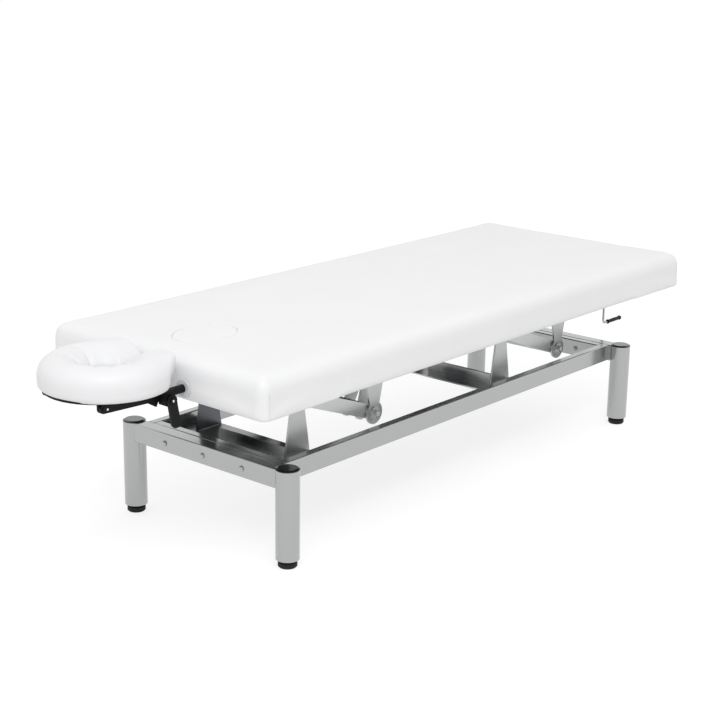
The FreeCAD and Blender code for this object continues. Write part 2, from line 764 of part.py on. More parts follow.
def cradle_arm(side):
    """Shaped bar from the yoke shaft to the platform's hinge, with a hooked lower edge."""
    y0, y1 = sorted((side * arm_plane, side * (arm_plane - cradle_arm_t)))
    upper = yoke_z + cradle_arm_r
    outline = [(yoke_x, upper), (cradle_hinge_x, cradle_hinge_z + cradle_hinge_r),
               (cradle_hinge_x, cradle_hinge_z - cradle_hinge_r),
               (cradle_wedge_x - 2 * cradle_arm_r, yoke_z - overrun),
               (cradle_wedge_x, cradle_wedge_z), (cradle_notch_x, cradle_notch_z),
               (yoke_x, yoke_z - cradle_arm_r)]
    arm = upright_plate(outline, y0, y1)
    arm = arm.fuse(rod_along_y(yoke_x, yoke_z, cradle_arm_r, y0, y1))
    arm = arm.fuse(rod_along_y(cradle_hinge_x, cradle_hinge_z, cradle_hinge_r, y0, y1))
    arm = arm.removeSplitter()
    for x, z, pin_d in ((yoke_x, yoke_z, yoke_shaft_d), (cradle_hinge_x, cradle_hinge_z, hinge_pin_d)):
        arm = arm.cut(rod_along_y(x, z, pin_d / 2 + run_fit, y0 - overrun, y1 + overrun))
    return arm


def horseshoe(centre_x, outer, inner, gap, horn, end, z0, z1):
    """Round ring, cut off square towards the table, with a narrow gap between its rounded horns."""
    tip_x = end - horn - centre_x
    inner_y = gap + horn
    outer_y = math.sqrt((outer - horn) ** 2 - tip_x ** 2)
    outer_turn = math.atan2(outer_y, tip_x)
    span = math.hypot(tip_x, inner_y)
    inner_turn = math.atan2(inner_y, tip_x) + math.acos((inner + horn) / span)

    def at(x, y):
        return V(centre_x + x, y, z0)

    def about(x, y, radius, turn):
        return at(x + radius * math.cos(turn), y + radius * math.sin(turn))

    def arc(x, y, radius, start, stop):
        return arc_edge(about(x, y, radius, start), about(x, y, radius, (start + stop) / 2),
                        about(x, y, radius, stop))

    half = [arc(0, 0, outer, math.pi, outer_turn),
            arc(tip_x, outer_y, horn, outer_turn, 0),
            Part.makeLine(about(tip_x, outer_y, horn, 0), about(tip_x, inner_y, horn, 0)),
            arc(tip_x, inner_y, horn, 0, inner_turn - math.pi),
            Part.makeLine(about(tip_x, inner_y, horn, inner_turn - math.pi),
                          about(0, 0, inner, inner_turn)),
            arc(0, 0, inner, inner_turn, math.pi)]
    edges = half + [flipped(edge) for edge in half]
    wire = Part.Wire(Part.__sortEdges__(edges))
    return Part.Face(wire).extrude(V(0, 0, z1 - z0))


def face_cushion():
    """Horseshoe cushion, well rounded above and lightly below."""
    top = cushion_bottom + cushion_h
    shape = horseshoe(cushion_arc_x, cushion_r, cushion_open_r, cushion_gap_half, cushion_horn_r,
                      cushion_end_x, cushion_bottom, top)
    rims = [edge for edge in shape.Edges if edge.BoundBox.ZMin > top - overrun]
    shape = shape.makeFillet(cushion_edge_r, rims)
    feet = [edge for edge in shape.Edges if edge.BoundBox.ZMax < cushion_bottom + overrun]
    return shape.makeFillet(cushion_foot_r, feet)


def cradle_platform():
    """Flat ring under the cushion with two hinge lugs and their pins."""
    plate = horseshoe(cushion_arc_x - platform_shift, cushion_r - platform_inset,
                      cushion_open_r + platform_open_grow, cushion_gap_half + platform_open_grow,
                      platform_horn_r,
                      platform_end_x, platform_z, platform_z + platform_t)
    lug_out = arm_plane - cradle_arm_t - cradle_arm_gap
    for side in (-1, 1):
        y0, y1 = sorted((side * lug_out, side * (lug_out - lug_t)))
        left, right = cradle_hinge_x - lug_r, cradle_hinge_x + lug_r
        lug = upright_plate([(left, cradle_hinge_z), (right, cradle_hinge_z), (right, platform_z),
                             (left, platform_z)], y0, y1)
        lug = lug.fuse(rod_along_y(cradle_hinge_x, cradle_hinge_z, lug_r, y0, y1))
        pin_in, pin_out = sorted((side * (lug_out - lug_t), side * (arm_plane + overrun)))
        pin = rod_along_y(cradle_hinge_x, cradle_hinge_z, hinge_pin_d / 2, pin_in, pin_out)
        plate = plate.fuse(lug).fuse(pin)
    return plate.removeSplitter()


def cam_lever():
    """Clamp lever that hangs from the near end of the yoke shaft."""
    y1 = -rod_y_off - yoke_block_w / 2 - cradle_arm_gap
    y0 = y1 - lever_t
    half = lever_w / 2
    foot_x, foot_z = yoke_x + lever_lean, yoke_z - lever_len
    outline = [(yoke_x - half, yoke_z), (yoke_x + half, yoke_z), (foot_x + half, foot_z + half / 2),
               (foot_x + half / 2, foot_z), (foot_x - half / 2, foot_z), (foot_x - half, foot_z + half / 2)]
    lever = upright_plate(outline, y0, y1)
    lever = lever.fuse(rod_along_y(yoke_x, yoke_z, lever_boss_r, y0, y1)).removeSplitter()
    return lever.cut(rod_along_y(yoke_x, yoke_z, yoke_shaft_d / 2 + run_fit, y0 - overrun, y1 + overrun))


def cam_pin():
    """Headed pin on the near block, which the clamp lever turns about."""
    block_face = -rod_y_off - yoke_block_w / 2
    lever_face = block_face - cradle_arm_gap - lever_t
    pin = rod_along_y(yoke_x, yoke_z, yoke_shaft_d / 2, lever_face - side_gap, block_face)
    head = rod_along_y(yoke_x, yoke_z, yoke_shaft_d / 2 + overrun, lever_face - side_gap - overrun,
                       lever_face - side_gap)
    return pin.fuse(head).removeSplitter()


def build():
    for name, x, y in corner_places():
        emit("leg_post_" + name, post(x, y))
        emit("levelling_foot_" + name, levelling_foot(x, y))
    emit("leg_caps", group([post_cap(x, y) for _, x, y in corner_places()]))
    emit("leg_inserts", group([post_insert(x, y) for _, x, y in corner_places()]))
    for end, sign in (("head", -1), ("foot", 1)):
        emit(end + "_cross_rail", cross_rail(sign))
        emit(end + "_inner_rail", inner_end_rail(sign))
    for side, sign in (("near", -1), ("far", 1)):
        emit("side_rail_" + side, side_rail(sign))
        emit("top_rail_" + side, top_rail(sign))
    emit("frame_bolts", group([solid for sign in (-1, 1) for y in bolt_rows()
                               for solid in frame_bolt(sign, y).Solids]))
    for end, pivot_x, eye_fit in (("head", head_pivot_x, run_fit), ("foot", foot_pivot_x, open_pivot_fit)):
        emit(end + "_pivot_beam", pivot_beam(pivot_x))
        emit(end + "_torsion_tube", torsion_tube(pivot_x + eye_dx))
        for side, sign in (("near", -1), ("far", 1)):
            emit(end + "_pivot_bracket_" + side, pivot_bracket(pivot_x, sign))
            emit(end + "_lift_arm_" + side, lift_arm(pivot_x, sign, eye_fit))
            emit(end + "_hanger_" + side, hanger(pivot_x + eye_dx, sign))
    both_ends = [(pivot_x, sign) for pivot_x in (head_pivot_x, foot_pivot_x) for sign in (-1, 1)]
    emit("base_pivot_bolts", group([solid for x, sign in both_ends
                                    for solid in pivot_bolt(x, base_pivot_z, sign).Solids]))
    emit("hanger_pivot_bolts", group([solid for x, sign in both_ends
                                      for solid in pivot_bolt(x + eye_dx, eye_z, sign).Solids]))
    horn_near = drive_horn(spindle_y - horn_in - horn_t, spindle_y - horn_in)
    horn_far = drive_horn(spindle_y + horn_in, spindle_y + horn_in + horn_t)
    emit("drive_horns", group([horn_near, horn_far]))
    emit("top_head_cross_rail", top_cross_rail(head_cross_x))
    emit("top_bearing_cross_rail", top_cross_rail(bearing_cross_x))
    emit("top_mid_cross_rail", top_cross_rail(mid_cross_x))
    emit("top_foot_cross_rail", top_cross_rail(foot_cross_x))
    emit("platform_board", board())
    emit("mattress", mattress())
    emit("face_plug", face_plug())
    emit("spindle", spindle())
    emit("spindle_nut", spindle_nut())
    emit("bearing_blocks", group([bearing_block(bearing_cross_x), bearing_block(foot_cross_x)]))
    emit("crank_arm", crank_arm())
    emit("crank_grip", crank_grip())
    emit("cradle_sockets", group([cradle_socket(-1), cradle_socket(1)]))
    emit("cradle_grommets", group([grommet(-1), grommet(1)]))
    emit("cradle_slide", cradle_slide())
    emit("cradle_arms", group([cradle_arm(-1), cradle_arm(1)]))
    emit("cradle_platform", cradle_platform())
    emit("face_cushion", face_cushion())
    emit("cam_lever", cam_lever())
    emit("cam_pin", cam_pin())


build()
print("x shift", round(x_shift, 3))
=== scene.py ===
"""Looks of the height-adjustable treatment table: finishes, upholstery, threads and welds.

Metres, in the part's own frame: +X to the foot end, -Y to the crank's side, +Z up, the floor at Z = 0.
"""
import json
import math

import bmesh
import bpy
from mathutils import Matrix, Vector, noise
from mathutils.bvhtree import BVHTree

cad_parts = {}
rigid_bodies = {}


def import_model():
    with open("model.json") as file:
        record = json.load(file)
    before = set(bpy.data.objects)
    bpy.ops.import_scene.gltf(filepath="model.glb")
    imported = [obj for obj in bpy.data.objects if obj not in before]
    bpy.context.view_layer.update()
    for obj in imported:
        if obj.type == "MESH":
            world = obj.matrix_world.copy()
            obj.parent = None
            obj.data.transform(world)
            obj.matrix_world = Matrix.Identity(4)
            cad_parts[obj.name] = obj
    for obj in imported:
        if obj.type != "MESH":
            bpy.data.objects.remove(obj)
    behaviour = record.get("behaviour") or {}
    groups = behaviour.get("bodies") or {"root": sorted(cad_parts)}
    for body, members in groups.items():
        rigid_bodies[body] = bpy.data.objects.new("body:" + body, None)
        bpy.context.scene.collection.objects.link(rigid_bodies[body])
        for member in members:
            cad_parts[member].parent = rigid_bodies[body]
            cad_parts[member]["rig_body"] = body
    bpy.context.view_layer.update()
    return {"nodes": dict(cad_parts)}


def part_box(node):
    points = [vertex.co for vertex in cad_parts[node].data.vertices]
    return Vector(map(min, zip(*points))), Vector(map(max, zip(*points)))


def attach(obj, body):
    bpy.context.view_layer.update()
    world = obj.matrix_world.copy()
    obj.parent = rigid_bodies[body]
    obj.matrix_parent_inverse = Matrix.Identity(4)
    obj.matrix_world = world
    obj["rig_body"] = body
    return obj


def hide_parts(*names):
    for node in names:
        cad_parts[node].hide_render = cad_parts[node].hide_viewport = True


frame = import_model()
nodes = frame["nodes"]
scene = bpy.context.scene
mm = 0.001

# Camera, matched to the photograph
camera_place = Vector((-3.2205, -2.6642, 1.5384))
camera_azimuth = -49.71
camera_elevation = 16.17
camera_roll = 0.84
camera_lens = 78.0
camera_sensor = 36.0


# Node materials

def new_material(name):
    material = bpy.data.materials.new(name)
    material.use_nodes = True
    tree = material.node_tree
    tree.nodes.clear()
    return material, tree


def put(tree, socket, value):
    """Gives a socket its value, which is a number, a colour or another node's output."""
    if isinstance(value, bpy.types.NodeSocket):
        tree.links.new(value, socket)
    elif socket.type == "RGBA" and len(value) == 3:
        socket.default_value = (*value, 1.0)
    else:
        socket.default_value = value


def node(tree, kind, inputs=None, **settings):
    """A node with its settings and inputs."""
    made = tree.nodes.new("ShaderNode" + kind)
    for key, value in settings.items():
        setattr(made, key, value)
    for key, value in (inputs or {}).items():
        put(tree, made.inputs[key], value)
    return made


def computed(tree, operation, *values):
    """Output of a Math node over its values."""
    return node(tree, "Math", dict(enumerate(values)), operation=operation).outputs["Value"]


def object_coords(tree, scale=(1.0, 1.0, 1.0)):
    place = node(tree, "TexCoord")
    return node(tree, "Mapping", {"Vector": place.outputs["Object"], "Scale": scale}).outputs["Vector"]


def ramp(tree, value, low, high, from_low=0.0, from_high=1.0):
    """Value scaled from one span to another."""
    return node(tree, "MapRange", {"Value": value, "From Min": from_low, "From Max": from_high,
                                   "To Min": low, "To Max": high}).outputs["Result"]


def tint(tree, amount, dark, light):
    """Colour between two, by an amount from 0 to 1."""
    mix = node(tree, "Mix", data_type="RGBA")
    sockets = {s.name: s for s in mix.inputs if s.enabled}
    for key, value in (("Factor", amount), ("A", dark), ("B", light)):
        put(tree, sockets[key], value)
    return [s for s in mix.outputs if s.enabled][0]


def noise_value(tree, coords, scale, detail=3.0, rough=0.5, distortion=0.0):
    return node(tree, "TexNoise", {"Vector": coords, "Scale": scale, "Detail": detail, "Roughness": rough,
                                   "Distortion": distortion}).outputs["Fac"]


def bump(tree, height, depth, strength=1.0, normal=None):
    inputs = {"Height": height, "Distance": depth, "Strength": strength}
    if normal is not None:
        inputs["Normal"] = normal
    return node(tree, "Bump", inputs).outputs["Normal"]


def flat_faces(tree):
    """1 on faces that lie flat, 0 on upright ones."""
    normal = node(tree, "NewGeometry").outputs["Normal"]
    upright = node(tree, "SeparateXYZ", {"Vector": normal}).outputs["Z"]
    return computed(tree, "GREATER_THAN", computed(tree, "ABSOLUTE", upright), 0.5)


def seen_rays(tree):
    """1 on rays from the camera and in reflections, 0 on the rays that light the table."""
    path = node(tree, "LightPath").outputs
    seen = computed(tree, "MAXIMUM", path["Is Camera Ray"], path["Is Glossy Ray"])
    return computed(tree, "MAXIMUM", seen, path["Is Transmission Ray"])


def shaded(tree, **inputs):
    """Principled shader and output, whose inputs are given by their names."""
    shader = node(tree, "BsdfPrincipled")
    for key, value in inputs.items():
        put(tree, shader.inputs[key.replace("_", " ")], value)
    node(tree, "OutputMaterial", {"Surface": shader.outputs["BSDF"]})


def vinyl(name, dark, light, rough):
    """Upholstery vinyl with a pebbled grain, faint creases and a soft gloss."""
    pebble_scale, pebble_depth = 620.0, 0.28 * mm
    crease_scale, crease_depth = 90.0, 0.7 * mm
    cloud_scale = 7.0
    material, tree = new_material(name)
    coords = object_coords(tree)
    cells = node(tree, "TexVoronoi", {"Vector": coords, "Scale": pebble_scale}, feature="SMOOTH_F1")
    pebble = ramp(tree, cells.outputs["Distance"], 1.0, 0.0, 0.0, 0.8)
    crease = noise_value(tree, coords, crease_scale, 5.0, 0.62, 1.2)
    cloud = noise_value(tree, coords, cloud_scale, 4.0)
    normal = bump(tree, crease, crease_depth, 0.22)
    normal = bump(tree, pebble, pebble_depth, 0.5, normal)
    shaded(tree, Base_Color=tint(tree, cloud, dark, light),
           Roughness=ramp(tree, cloud, rough - 0.05, rough + 0.07), Normal=normal, Specular_IOR_Level=0.42)
    return material


def silver_paint(name, dark, light):
    """Metallic powder coat: fine flakes, a little orange peel and a satin gloss."""
    flake_scale, cloud_scale = 2600.0, 5.0
    peel_scale, peel_depth = 900.0, 0.03 * mm
    material, tree = new_material(name)
    coords = object_coords(tree)
    flakes = node(tree, "TexVoronoi", {"Vector": coords, "Scale": flake_scale})
    speck = ramp(tree, flakes.outputs["Distance"], 0.0, 1.0, 0.0, 0.7)
    cloud = noise_value(tree, coords, cloud_scale, 2.0)
    peel = noise_value(tree, coords, peel_scale, 2.0)
    shaded(tree, Base_Color=tint(tree, speck, dark, light), Metallic=0.85,
           Roughness=ramp(tree, cloud, 0.16, 0.22), Normal=bump(tree, peel, peel_depth, 0.25),
           Coat_Weight=0.3, Coat_Roughness=0.08)
    return material


# Painted reflection in brushed steel: broad light and dark bands along Y in its colour, standing in for
# the bright and dark things it mirrors; they also vary its roughness
reflection_band_length = 0.3
reflection_band_shift = -0.03
reflection_band_drift = 1.4
drift_scale = 7.0


def painted_reflection_bands(tree, height):
    """Painted reflection: broad soft bands along Y, from 0 to a height, whose places drift with a noise.
    """
    along_y = node(tree, "SeparateXYZ", {"Vector": object_coords(tree)}).outputs["Y"]
    drift = ramp(tree, noise_value(tree, object_coords(tree), drift_scale, 2.0), -reflection_band_drift, reflection_band_drift)
    shifted = computed(tree, "ADD", along_y, reflection_band_shift)
    turn = computed(tree, "MULTIPLY_ADD", shifted, math.tau / reflection_band_length, drift)
    return ramp(tree, computed(tree, "SINE", turn), 0.0, height, -0.9, 0.9)


def brushed(name, dark, light, along, rough=0.3, band=0.35, spread=0.08, metal=1.0, painted_shade_on_flats=0.0):
    """Brushed steel whose fine scratches run along one axis, with broad painted reflection bands in its
    colour and roughness, and painted shade that darkens flat faces where asked.
    """
    scratch_scale, scratch_run, scratch_depth = 1500.0, 9.0, 0.02 * mm
    stretch = [scratch_run if axis == along else scratch_scale for axis in "xyz"]
    material, tree = new_material(name)
    scratches = noise_value(tree, object_coords(tree, stretch), 1.0, 3.0, 0.55)
    fine = ramp(tree, scratches, 0.0, 1.0 - band, 0.3, 0.7)
    mixed = computed(tree, "ADD", fine, painted_reflection_bands(tree, band))
    # Painted shade: flat faces get a darker colour, and with it a lower roughness
    if painted_shade_on_flats:
        mixed = computed(tree, "MULTIPLY", mixed, ramp(tree, flat_faces(tree), 1.0, 1.0 - painted_shade_on_flats))
    shaded(tree, Base_Color=tint(tree, mixed, dark, light), Metallic=metal,
           Roughness=ramp(tree, mixed, rough - 0.06, rough + spread),
           Normal=bump(tree, scratches, scratch_depth, 0.3), Anisotropic=0.4)
    return material


def plated(name, dark, light, rough=0.18):
    """Bright plated hardware with faint turning marks and smudges."""
    smudge_scale = 60.0
    mark_scale, mark_depth = 1400.0, 0.03 * mm
    material, tree = new_material(name)
    coords = object_coords(tree)
    smudge = noise_value(tree, coords, smudge_scale, 5.0, 0.6)
    marks = noise_value(tree, coords, mark_scale, 2.0)
    shaded(tree, Base_Color=tint(tree, smudge, dark, light), Metallic=1.0,
           Roughness=ramp(tree, smudge, rough, rough + 0.14), Normal=bump(tree, marks, mark_depth, 0.3))
    return material


def moulded(name, dark, light, rough, grain=1100.0, coat=0.0, shine=0.5):
    """Moulded plastic, rubber or satin paint with a fine grain."""
    cloud_scale, grain_depth = 30.0, 0.12 * mm
    material, tree = new_material(name)
    coords = object_coords(tree)
    texture = noise_value(tree, coords, grain, 3.0)
    cloud = noise_value(tree, coords, cloud_scale, 4.0)
    shaded(tree, Base_Color=tint(tree, cloud, dark, light),
           Roughness=ramp(tree, cloud, rough - 0.05, rough + 0.08),
           Normal=bump(tree, texture, grain_depth, 0.4), Specular_IOR_Level=shine, Coat_Weight=coat,
           Coat_Roughness=0.1)
    return material


def film_faced_board(name):
    """Dark film-faced plywood, whose darkness also paints the shade under the pad: a wood grain under the
    film and paler plies along the edges.
    """
    grain_stretch, grain_scale, grain_depth = (3.0, 40.0, 40.0), 6.0, 0.2 * mm
    ply_scale = 115.0
    material, tree = new_material(name)
    grain = noise_value(tree, object_coords(tree, grain_stretch), grain_scale, 6.0, 0.65, 0.6)
    # Near-black film: the board's own dark face, which also paints the shade under the pad and the dark
    # underside mirrored in the steel
    face = tint(tree, grain, (0.030, 0.026, 0.024), (0.060, 0.052, 0.047))
    plies = node(tree, "TexWave", {"Vector": object_coords(tree), "Scale": ply_scale, "Distortion": 0.6,
                                   "Detail": 2.0}, bands_direction="Z")
    edge = tint(tree, plies.outputs["Fac"], (0.075, 0.055, 0.040), (0.16, 0.12, 0.085))
    shaded(tree, Base_Color=tint(tree, flat_faces(tree), edge, face),
           Roughness=ramp(tree, grain, 0.42, 0.58), Normal=bump(tree, grain, grain_depth, 0.4))
    return material


paint = silver_paint("silver_powder_coat", (0.362, 0.372, 0.372), (0.45, 0.46, 0.46))
top_paint = silver_paint("grey_powder_coat", (0.34, 0.35, 0.35), (0.44, 0.45, 0.45))
steel_near = brushed("brushed_steel_near", (0.44, 0.455, 0.46), (0.56, 0.575, 0.57), "z", 0.38)
# Painted shade: a much darker copy of the near brackets' brushed steel, for the far brackets and far lift
# arms, which stand in shade under the pad
steel_far_painted_shade = brushed("brushed_steel_far_painted_shade", (0.10, 0.107, 0.117), (0.16, 0.168, 0.178), "z", 0.34)
steel_long = brushed("brushed_steel_lengthwise", (0.49, 0.505, 0.51), (0.57, 0.582, 0.58), "x", 0.28)
# Painted reflection and painted shade: very wide light-to-dark bands in the colour, and flat faces
# darkened
steel_cross_painted_light = brushed("brushed_steel_crosswise_painted_light", (0.14, 0.145, 0.15), (0.97, 0.975, 0.96), "y", 0.2,
                      band=0.9, spread=0.5, metal=0.9, painted_shade_on_flats=0.6)
steel_tube = brushed("brushed_steel_tube", (0.38, 0.39, 0.395), (0.50, 0.51, 0.51), "y", 0.26)
steel_light = brushed("brushed_steel_hanger", (0.43, 0.44, 0.44), (0.50, 0.51, 0.505), "z", 0.3)
zinc = plated("zinc_hardware", (0.50, 0.51, 0.52), (0.66, 0.67, 0.67), 0.24)
chrome = plated("bright_chrome", (0.62, 0.63, 0.64), (0.78, 0.79, 0.80), 0.06)
bronze = plated("machined_bronze", (0.62, 0.58, 0.50), (0.74, 0.70, 0.62), 0.24)
cap_black = moulded("cap_plastic", (0.010, 0.010, 0.011), (0.018, 0.018, 0.019), 0.16, coat=0.5)
foot_black = moulded("foot_rubber", (0.006, 0.006, 0.006), (0.014, 0.014, 0.014), 0.62, 700.0, shine=0.3)
insert_black = moulded("insert_plastic", (0.020, 0.020, 0.020), (0.040, 0.040, 0.040), 0.5)
grip_black = moulded("grip_plastic", (0.004, 0.004, 0.005), (0.010, 0.010, 0.011), 0.4, shine=0.22)
cradle_black = moulded("cradle_powder_coat", (0.004, 0.004, 0.0045), (0.010, 0.010, 0.011), 0.45, 620.0,
                       shine=0.16)
grommet_pale = moulded("grommet_plastic", (0.62, 0.63, 0.645), (0.70, 0.71, 0.72), 0.3, coat=0.2)
socket_metal = plated("socket_aluminium", (0.60, 0.61, 0.62), (0.72, 0.73, 0.74), 0.3)
board = film_faced_board("film_faced_plywood_painted_shade")
pad_vinyl = vinyl("mattress_vinyl", (0.862, 0.864, 0.874), (0.905, 0.906, 0.914), 0.46)
cushion_vinyl = vinyl("cushion_vinyl", (0.825, 0.826, 0.838), (0.865, 0.866, 0.876), 0.42)
seam_vinyl = vinyl("seam_vinyl", (0.70, 0.705, 0.72), (0.76, 0.765, 0.78), 0.5)

corners = [end + "_" + side for end in ("head", "foot") for side in ("near", "far")]
finishes = {
    paint: ["leg_post_" + c for c in corners] + ["head_cross_rail", "foot_cross_rail", "head_inner_rail",
                                                 "foot_inner_rail", "side_rail_near", "side_rail_far",
                                                 "frame_bolts"],
    top_paint: ["top_rail_near", "top_rail_far", "top_head_cross_rail", "top_bearing_cross_rail",
                "top_mid_cross_rail", "top_foot_cross_rail", "bearing_blocks"],
    steel_near: ["head_pivot_bracket_near", "foot_pivot_bracket_near", "drive_horns"],
    steel_far_painted_shade: ["head_pivot_bracket_far", "foot_pivot_bracket_far", "head_lift_arm_far",
                "foot_lift_arm_far"],
    steel_light: ["head_hanger_near", "head_hanger_far", "foot_hanger_near", "foot_hanger_far"],
    steel_long: ["head_lift_arm_near", "foot_lift_arm_near"],
    steel_cross_painted_light: ["head_pivot_beam", "foot_pivot_beam"],
    steel_tube: ["head_torsion_tube", "foot_torsion_tube", "crank_arm"],
    zinc: ["base_pivot_bolts", "hanger_pivot_bolts"],
    chrome: ["spindle"],
    bronze: ["spindle_nut"],
    cap_black: ["leg_caps"],
    foot_black: ["levelling_foot_" + c for c in corners],
    insert_black: ["leg_inserts"],
    grip_black: ["crank_grip"],
    cradle_black: ["cradle_slide", "cradle_arms", "cradle_platform", "cam_lever", "cam_pin"],
    grommet_pale: ["cradle_grommets"],
    socket_metal: ["cradle_sockets"],
    board: ["platform_board"],
    pad_vinyl: ["mattress", "face_plug"],
    cushion_vinyl: ["face_cushion"],
}


def finish_cad_nodes():
    for material, names in finishes.items():
        for name in names:
            mesh = nodes[name].data
            mesh.materials.clear()
            mesh.materials.append(material)


# Meshes

def piece_from(name, vertices, faces, material, body, smooth=True):
    mesh = bpy.data.meshes.new(name)
    mesh.from_pydata([tuple(v) for v in vertices], [], faces)
    mesh.validate()
    return piece_of(name, mesh, material, body, smooth)


def piece_of(name, mesh, material, body, smooth=True):
    bm = bmesh.new()
    bm.from_mesh(mesh)
    bmesh.ops.recalc_face_normals(bm, faces=bm.faces)
    bm.to_mesh(mesh)
    bm.free()
    mesh.materials.clear()
    mesh.materials.append(material)
    piece = bpy.data.objects.new(name, mesh)
    scene.collection.objects.link(piece)
    if smooth:
        mesh.shade_smooth()
    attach(piece, body)
    return piece


def stacked_loops(loops, closed_ends=True):
    """Vertices and faces of a skin over loops of equal count."""
    count = len(loops[0])
    vertices = [p for loop in loops for p in loop]
    faces = []
    for row in range(len(loops) - 1):
        for i in range(count):
            j = (i + 1) % count
            a, b = row * count, (row + 1) * count
            faces.append((a + i, a + j, b + j, b + i))
    if closed_ends:
        faces.append(tuple(reversed(range(count))))
        last = (len(loops) - 1) * count
        faces.append(tuple(range(last, last + count)))
    return vertices, faces


def circle(steps, radius):
    """Points of a circle about the origin, each as two offsets."""
    for i in range(steps):
        turn = math.tau * i / steps
        yield radius * math.cos(turn), radius * math.sin(turn)


def lathe(points, steps, axis_y, axis_z):
    """Loops of a turned piece along X, from (x, radius) points."""
    return [[Vector((x, axis_y + y, axis_z + z)) for y, z in circle(steps, r)] for x, r in points]


def noise_at(x, y, z):
    return noise.noise(Vector((x, y, z)))


def modified_mesh(piece):
    """The piece's mesh with its modifiers applied."""
    graph = bpy.context.evaluated_depsgraph_get()
    return bpy.data.meshes.new_from_object(piece.evaluated_get(graph), depsgraph=graph)


def apply_modifiers(piece):
    mesh = modified_mesh(piece)
    piece.modifiers.clear()
    piece.data = mesh


def surface_tree(piece):
    """Ray casting on a piece as it is now."""
    return BVHTree.FromObject(piece, bpy.context.evaluated_depsgraph_get())


def puff(piece, pressure, cap, pinned_below):
    """Swells a closed piece as cloth under pressure, no point further than the cap."""
    sim_steps = 20
    rest = [v.co.copy() for v in piece.data.vertices]
    group = piece.vertex_groups.new(name="rests")
    group.add([i for i, co in enumerate(rest) if co.z < pinned_below], 1.0, "REPLACE")
    cloth = piece.modifiers.new("cloth", "CLOTH")
    cloth.settings.quality = 4
    cloth.settings.mass = 0.35
    cloth.settings.tension_stiffness = 25
    cloth.settings.compression_stiffness = 12
    cloth.settings.bending_stiffness = 1.5
    cloth.settings.use_pressure = True
    cloth.settings.uniform_pressure_force = pressure
    cloth.settings.vertex_group_mass = group.name
    cloth.settings.effector_weights.gravity = 0
    cloth.collision_settings.use_collision = False
    for step in range(sim_steps):
        scene.frame_set(step + 1)
    mesh = modified_mesh(piece)
    swollen = [v.co.copy() for v in mesh.vertices]
    piece.modifiers.clear()
    piece.vertex_groups.clear()
    scene.frame_set(1)
    for vertex, before, after in zip(piece.data.vertices, rest, swollen):
        move = after - before
        length = move.length
        vertex.co = before + move * (cap / (cap + length)) if length > 0 else before
    piece.data.update()


def with_normals(piece):
    """Each vertex with its normal, all read before any vertex moves."""
    vertices = piece.data.vertices
    return list(zip(vertices, [v.normal.copy() for v in vertices]))


def remeshed(piece, voxel):
    """Adds a voxel remesh to a piece's modifiers."""
    remesh = piece.modifiers.new("remesh", "REMESH")
    remesh.mode = "VOXEL"
    remesh.voxel_size = voxel


def smoothed(piece):
    """Adds a light smoothing to a piece's modifiers."""
    smooth = piece.modifiers.new("smooth", "SMOOTH")
    smooth.iterations = 4
    smooth.factor = 0.5
    return smooth


def subdivided(piece):
    modifier = piece.modifiers.new("subdivision", "SUBSURF")
    modifier.levels = 1
    modifier.render_levels = 1
    apply_modifiers(piece)


def cut(piece, cutter):
    """Takes a closed cutter out of a piece."""
    modifier = piece.modifiers.new("cut", "BOOLEAN")
    modifier.operation = "DIFFERENCE"
    modifier.solver = "MANIFOLD"
    modifier.object = cutter
    apply_modifiers(piece)
    bpy.data.objects.remove(cutter)


# Mattress

pad_low, pad_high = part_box("mattress")
pad_corner_r = 24 * mm
pad_least_r = 2 * mm
pad_corner_steps = 12
pad_edge_r = 32 * mm
pad_edge_steps = 6
pad_foot_r = 1 * mm
pad_foot_steps = 3
pad_skirt = 7 * mm
pad_foot = pad_low.z - pad_skirt
pad_crown = 4 * mm
pad_crown_power = 10
pad_crown_share = 0.6
pad_side_draw = 5 * mm
pad_end_share = 0.6
pad_side_spans = 24
pad_short_side = 20 * mm
pad_voxel = 9 * mm
pad_inset = 1 * mm
pad_smooth_from = 22 * mm
pad_pressure = 2.0
pad_swell_cap = 3.5 * mm
pad_pinned = 3 * mm
pad_wave = 0.6 * mm
pad_ripple = 0.2 * mm
pad_middle = (pad_low + pad_high) / 2
pad_half_x = (pad_high.x - pad_low.x) / 2
pad_half_y = (pad_high.y - pad_low.y) / 2
pad_top = pad_high.z - pad_crown


def pad_loop(inset, z):
    """Plan outline of the pad, drawn in from its edge and between its corners."""
    half_x = pad_half_x - inset
    half_y = pad_half_y - inset
    radius = max(pad_corner_r - inset, pad_least_r)
    points = []
    for cx, cy, start in ((1, 1, 0), (-1, 1, 90), (-1, -1, 180), (1, -1, 270)):
        for step in range(pad_corner_steps + 1):
            turn = math.radians(start + step * 90 / pad_corner_steps)
            points.append(((half_x - radius) * cx + radius * math.cos(turn),
                           (half_y - radius) * cy + radius * math.sin(turn)))
    loop = []
    for (x0, y0), (x1, y1) in zip(points, points[1:] + points[:1]):
        long_side = math.hypot(x1 - x0, y1 - y0) > pad_short_side
        spans = pad_side_spans if long_side else 1
        for step in range(spans):
            share = step / spans
            x, y = x0 + (x1 - x0) * share, y0 + (y1 - y0) * share
            bow = math.sin(math.pi * share) * pad_side_draw
            if long_side and abs(y0 - y1) < abs(x0 - x1):
                y -= math.copysign(bow, y)
            elif long_side:
                x -= math.copysign(bow * pad_end_share, x)
            loop.append(Vector((pad_middle.x + x, y, z)))
    return loop


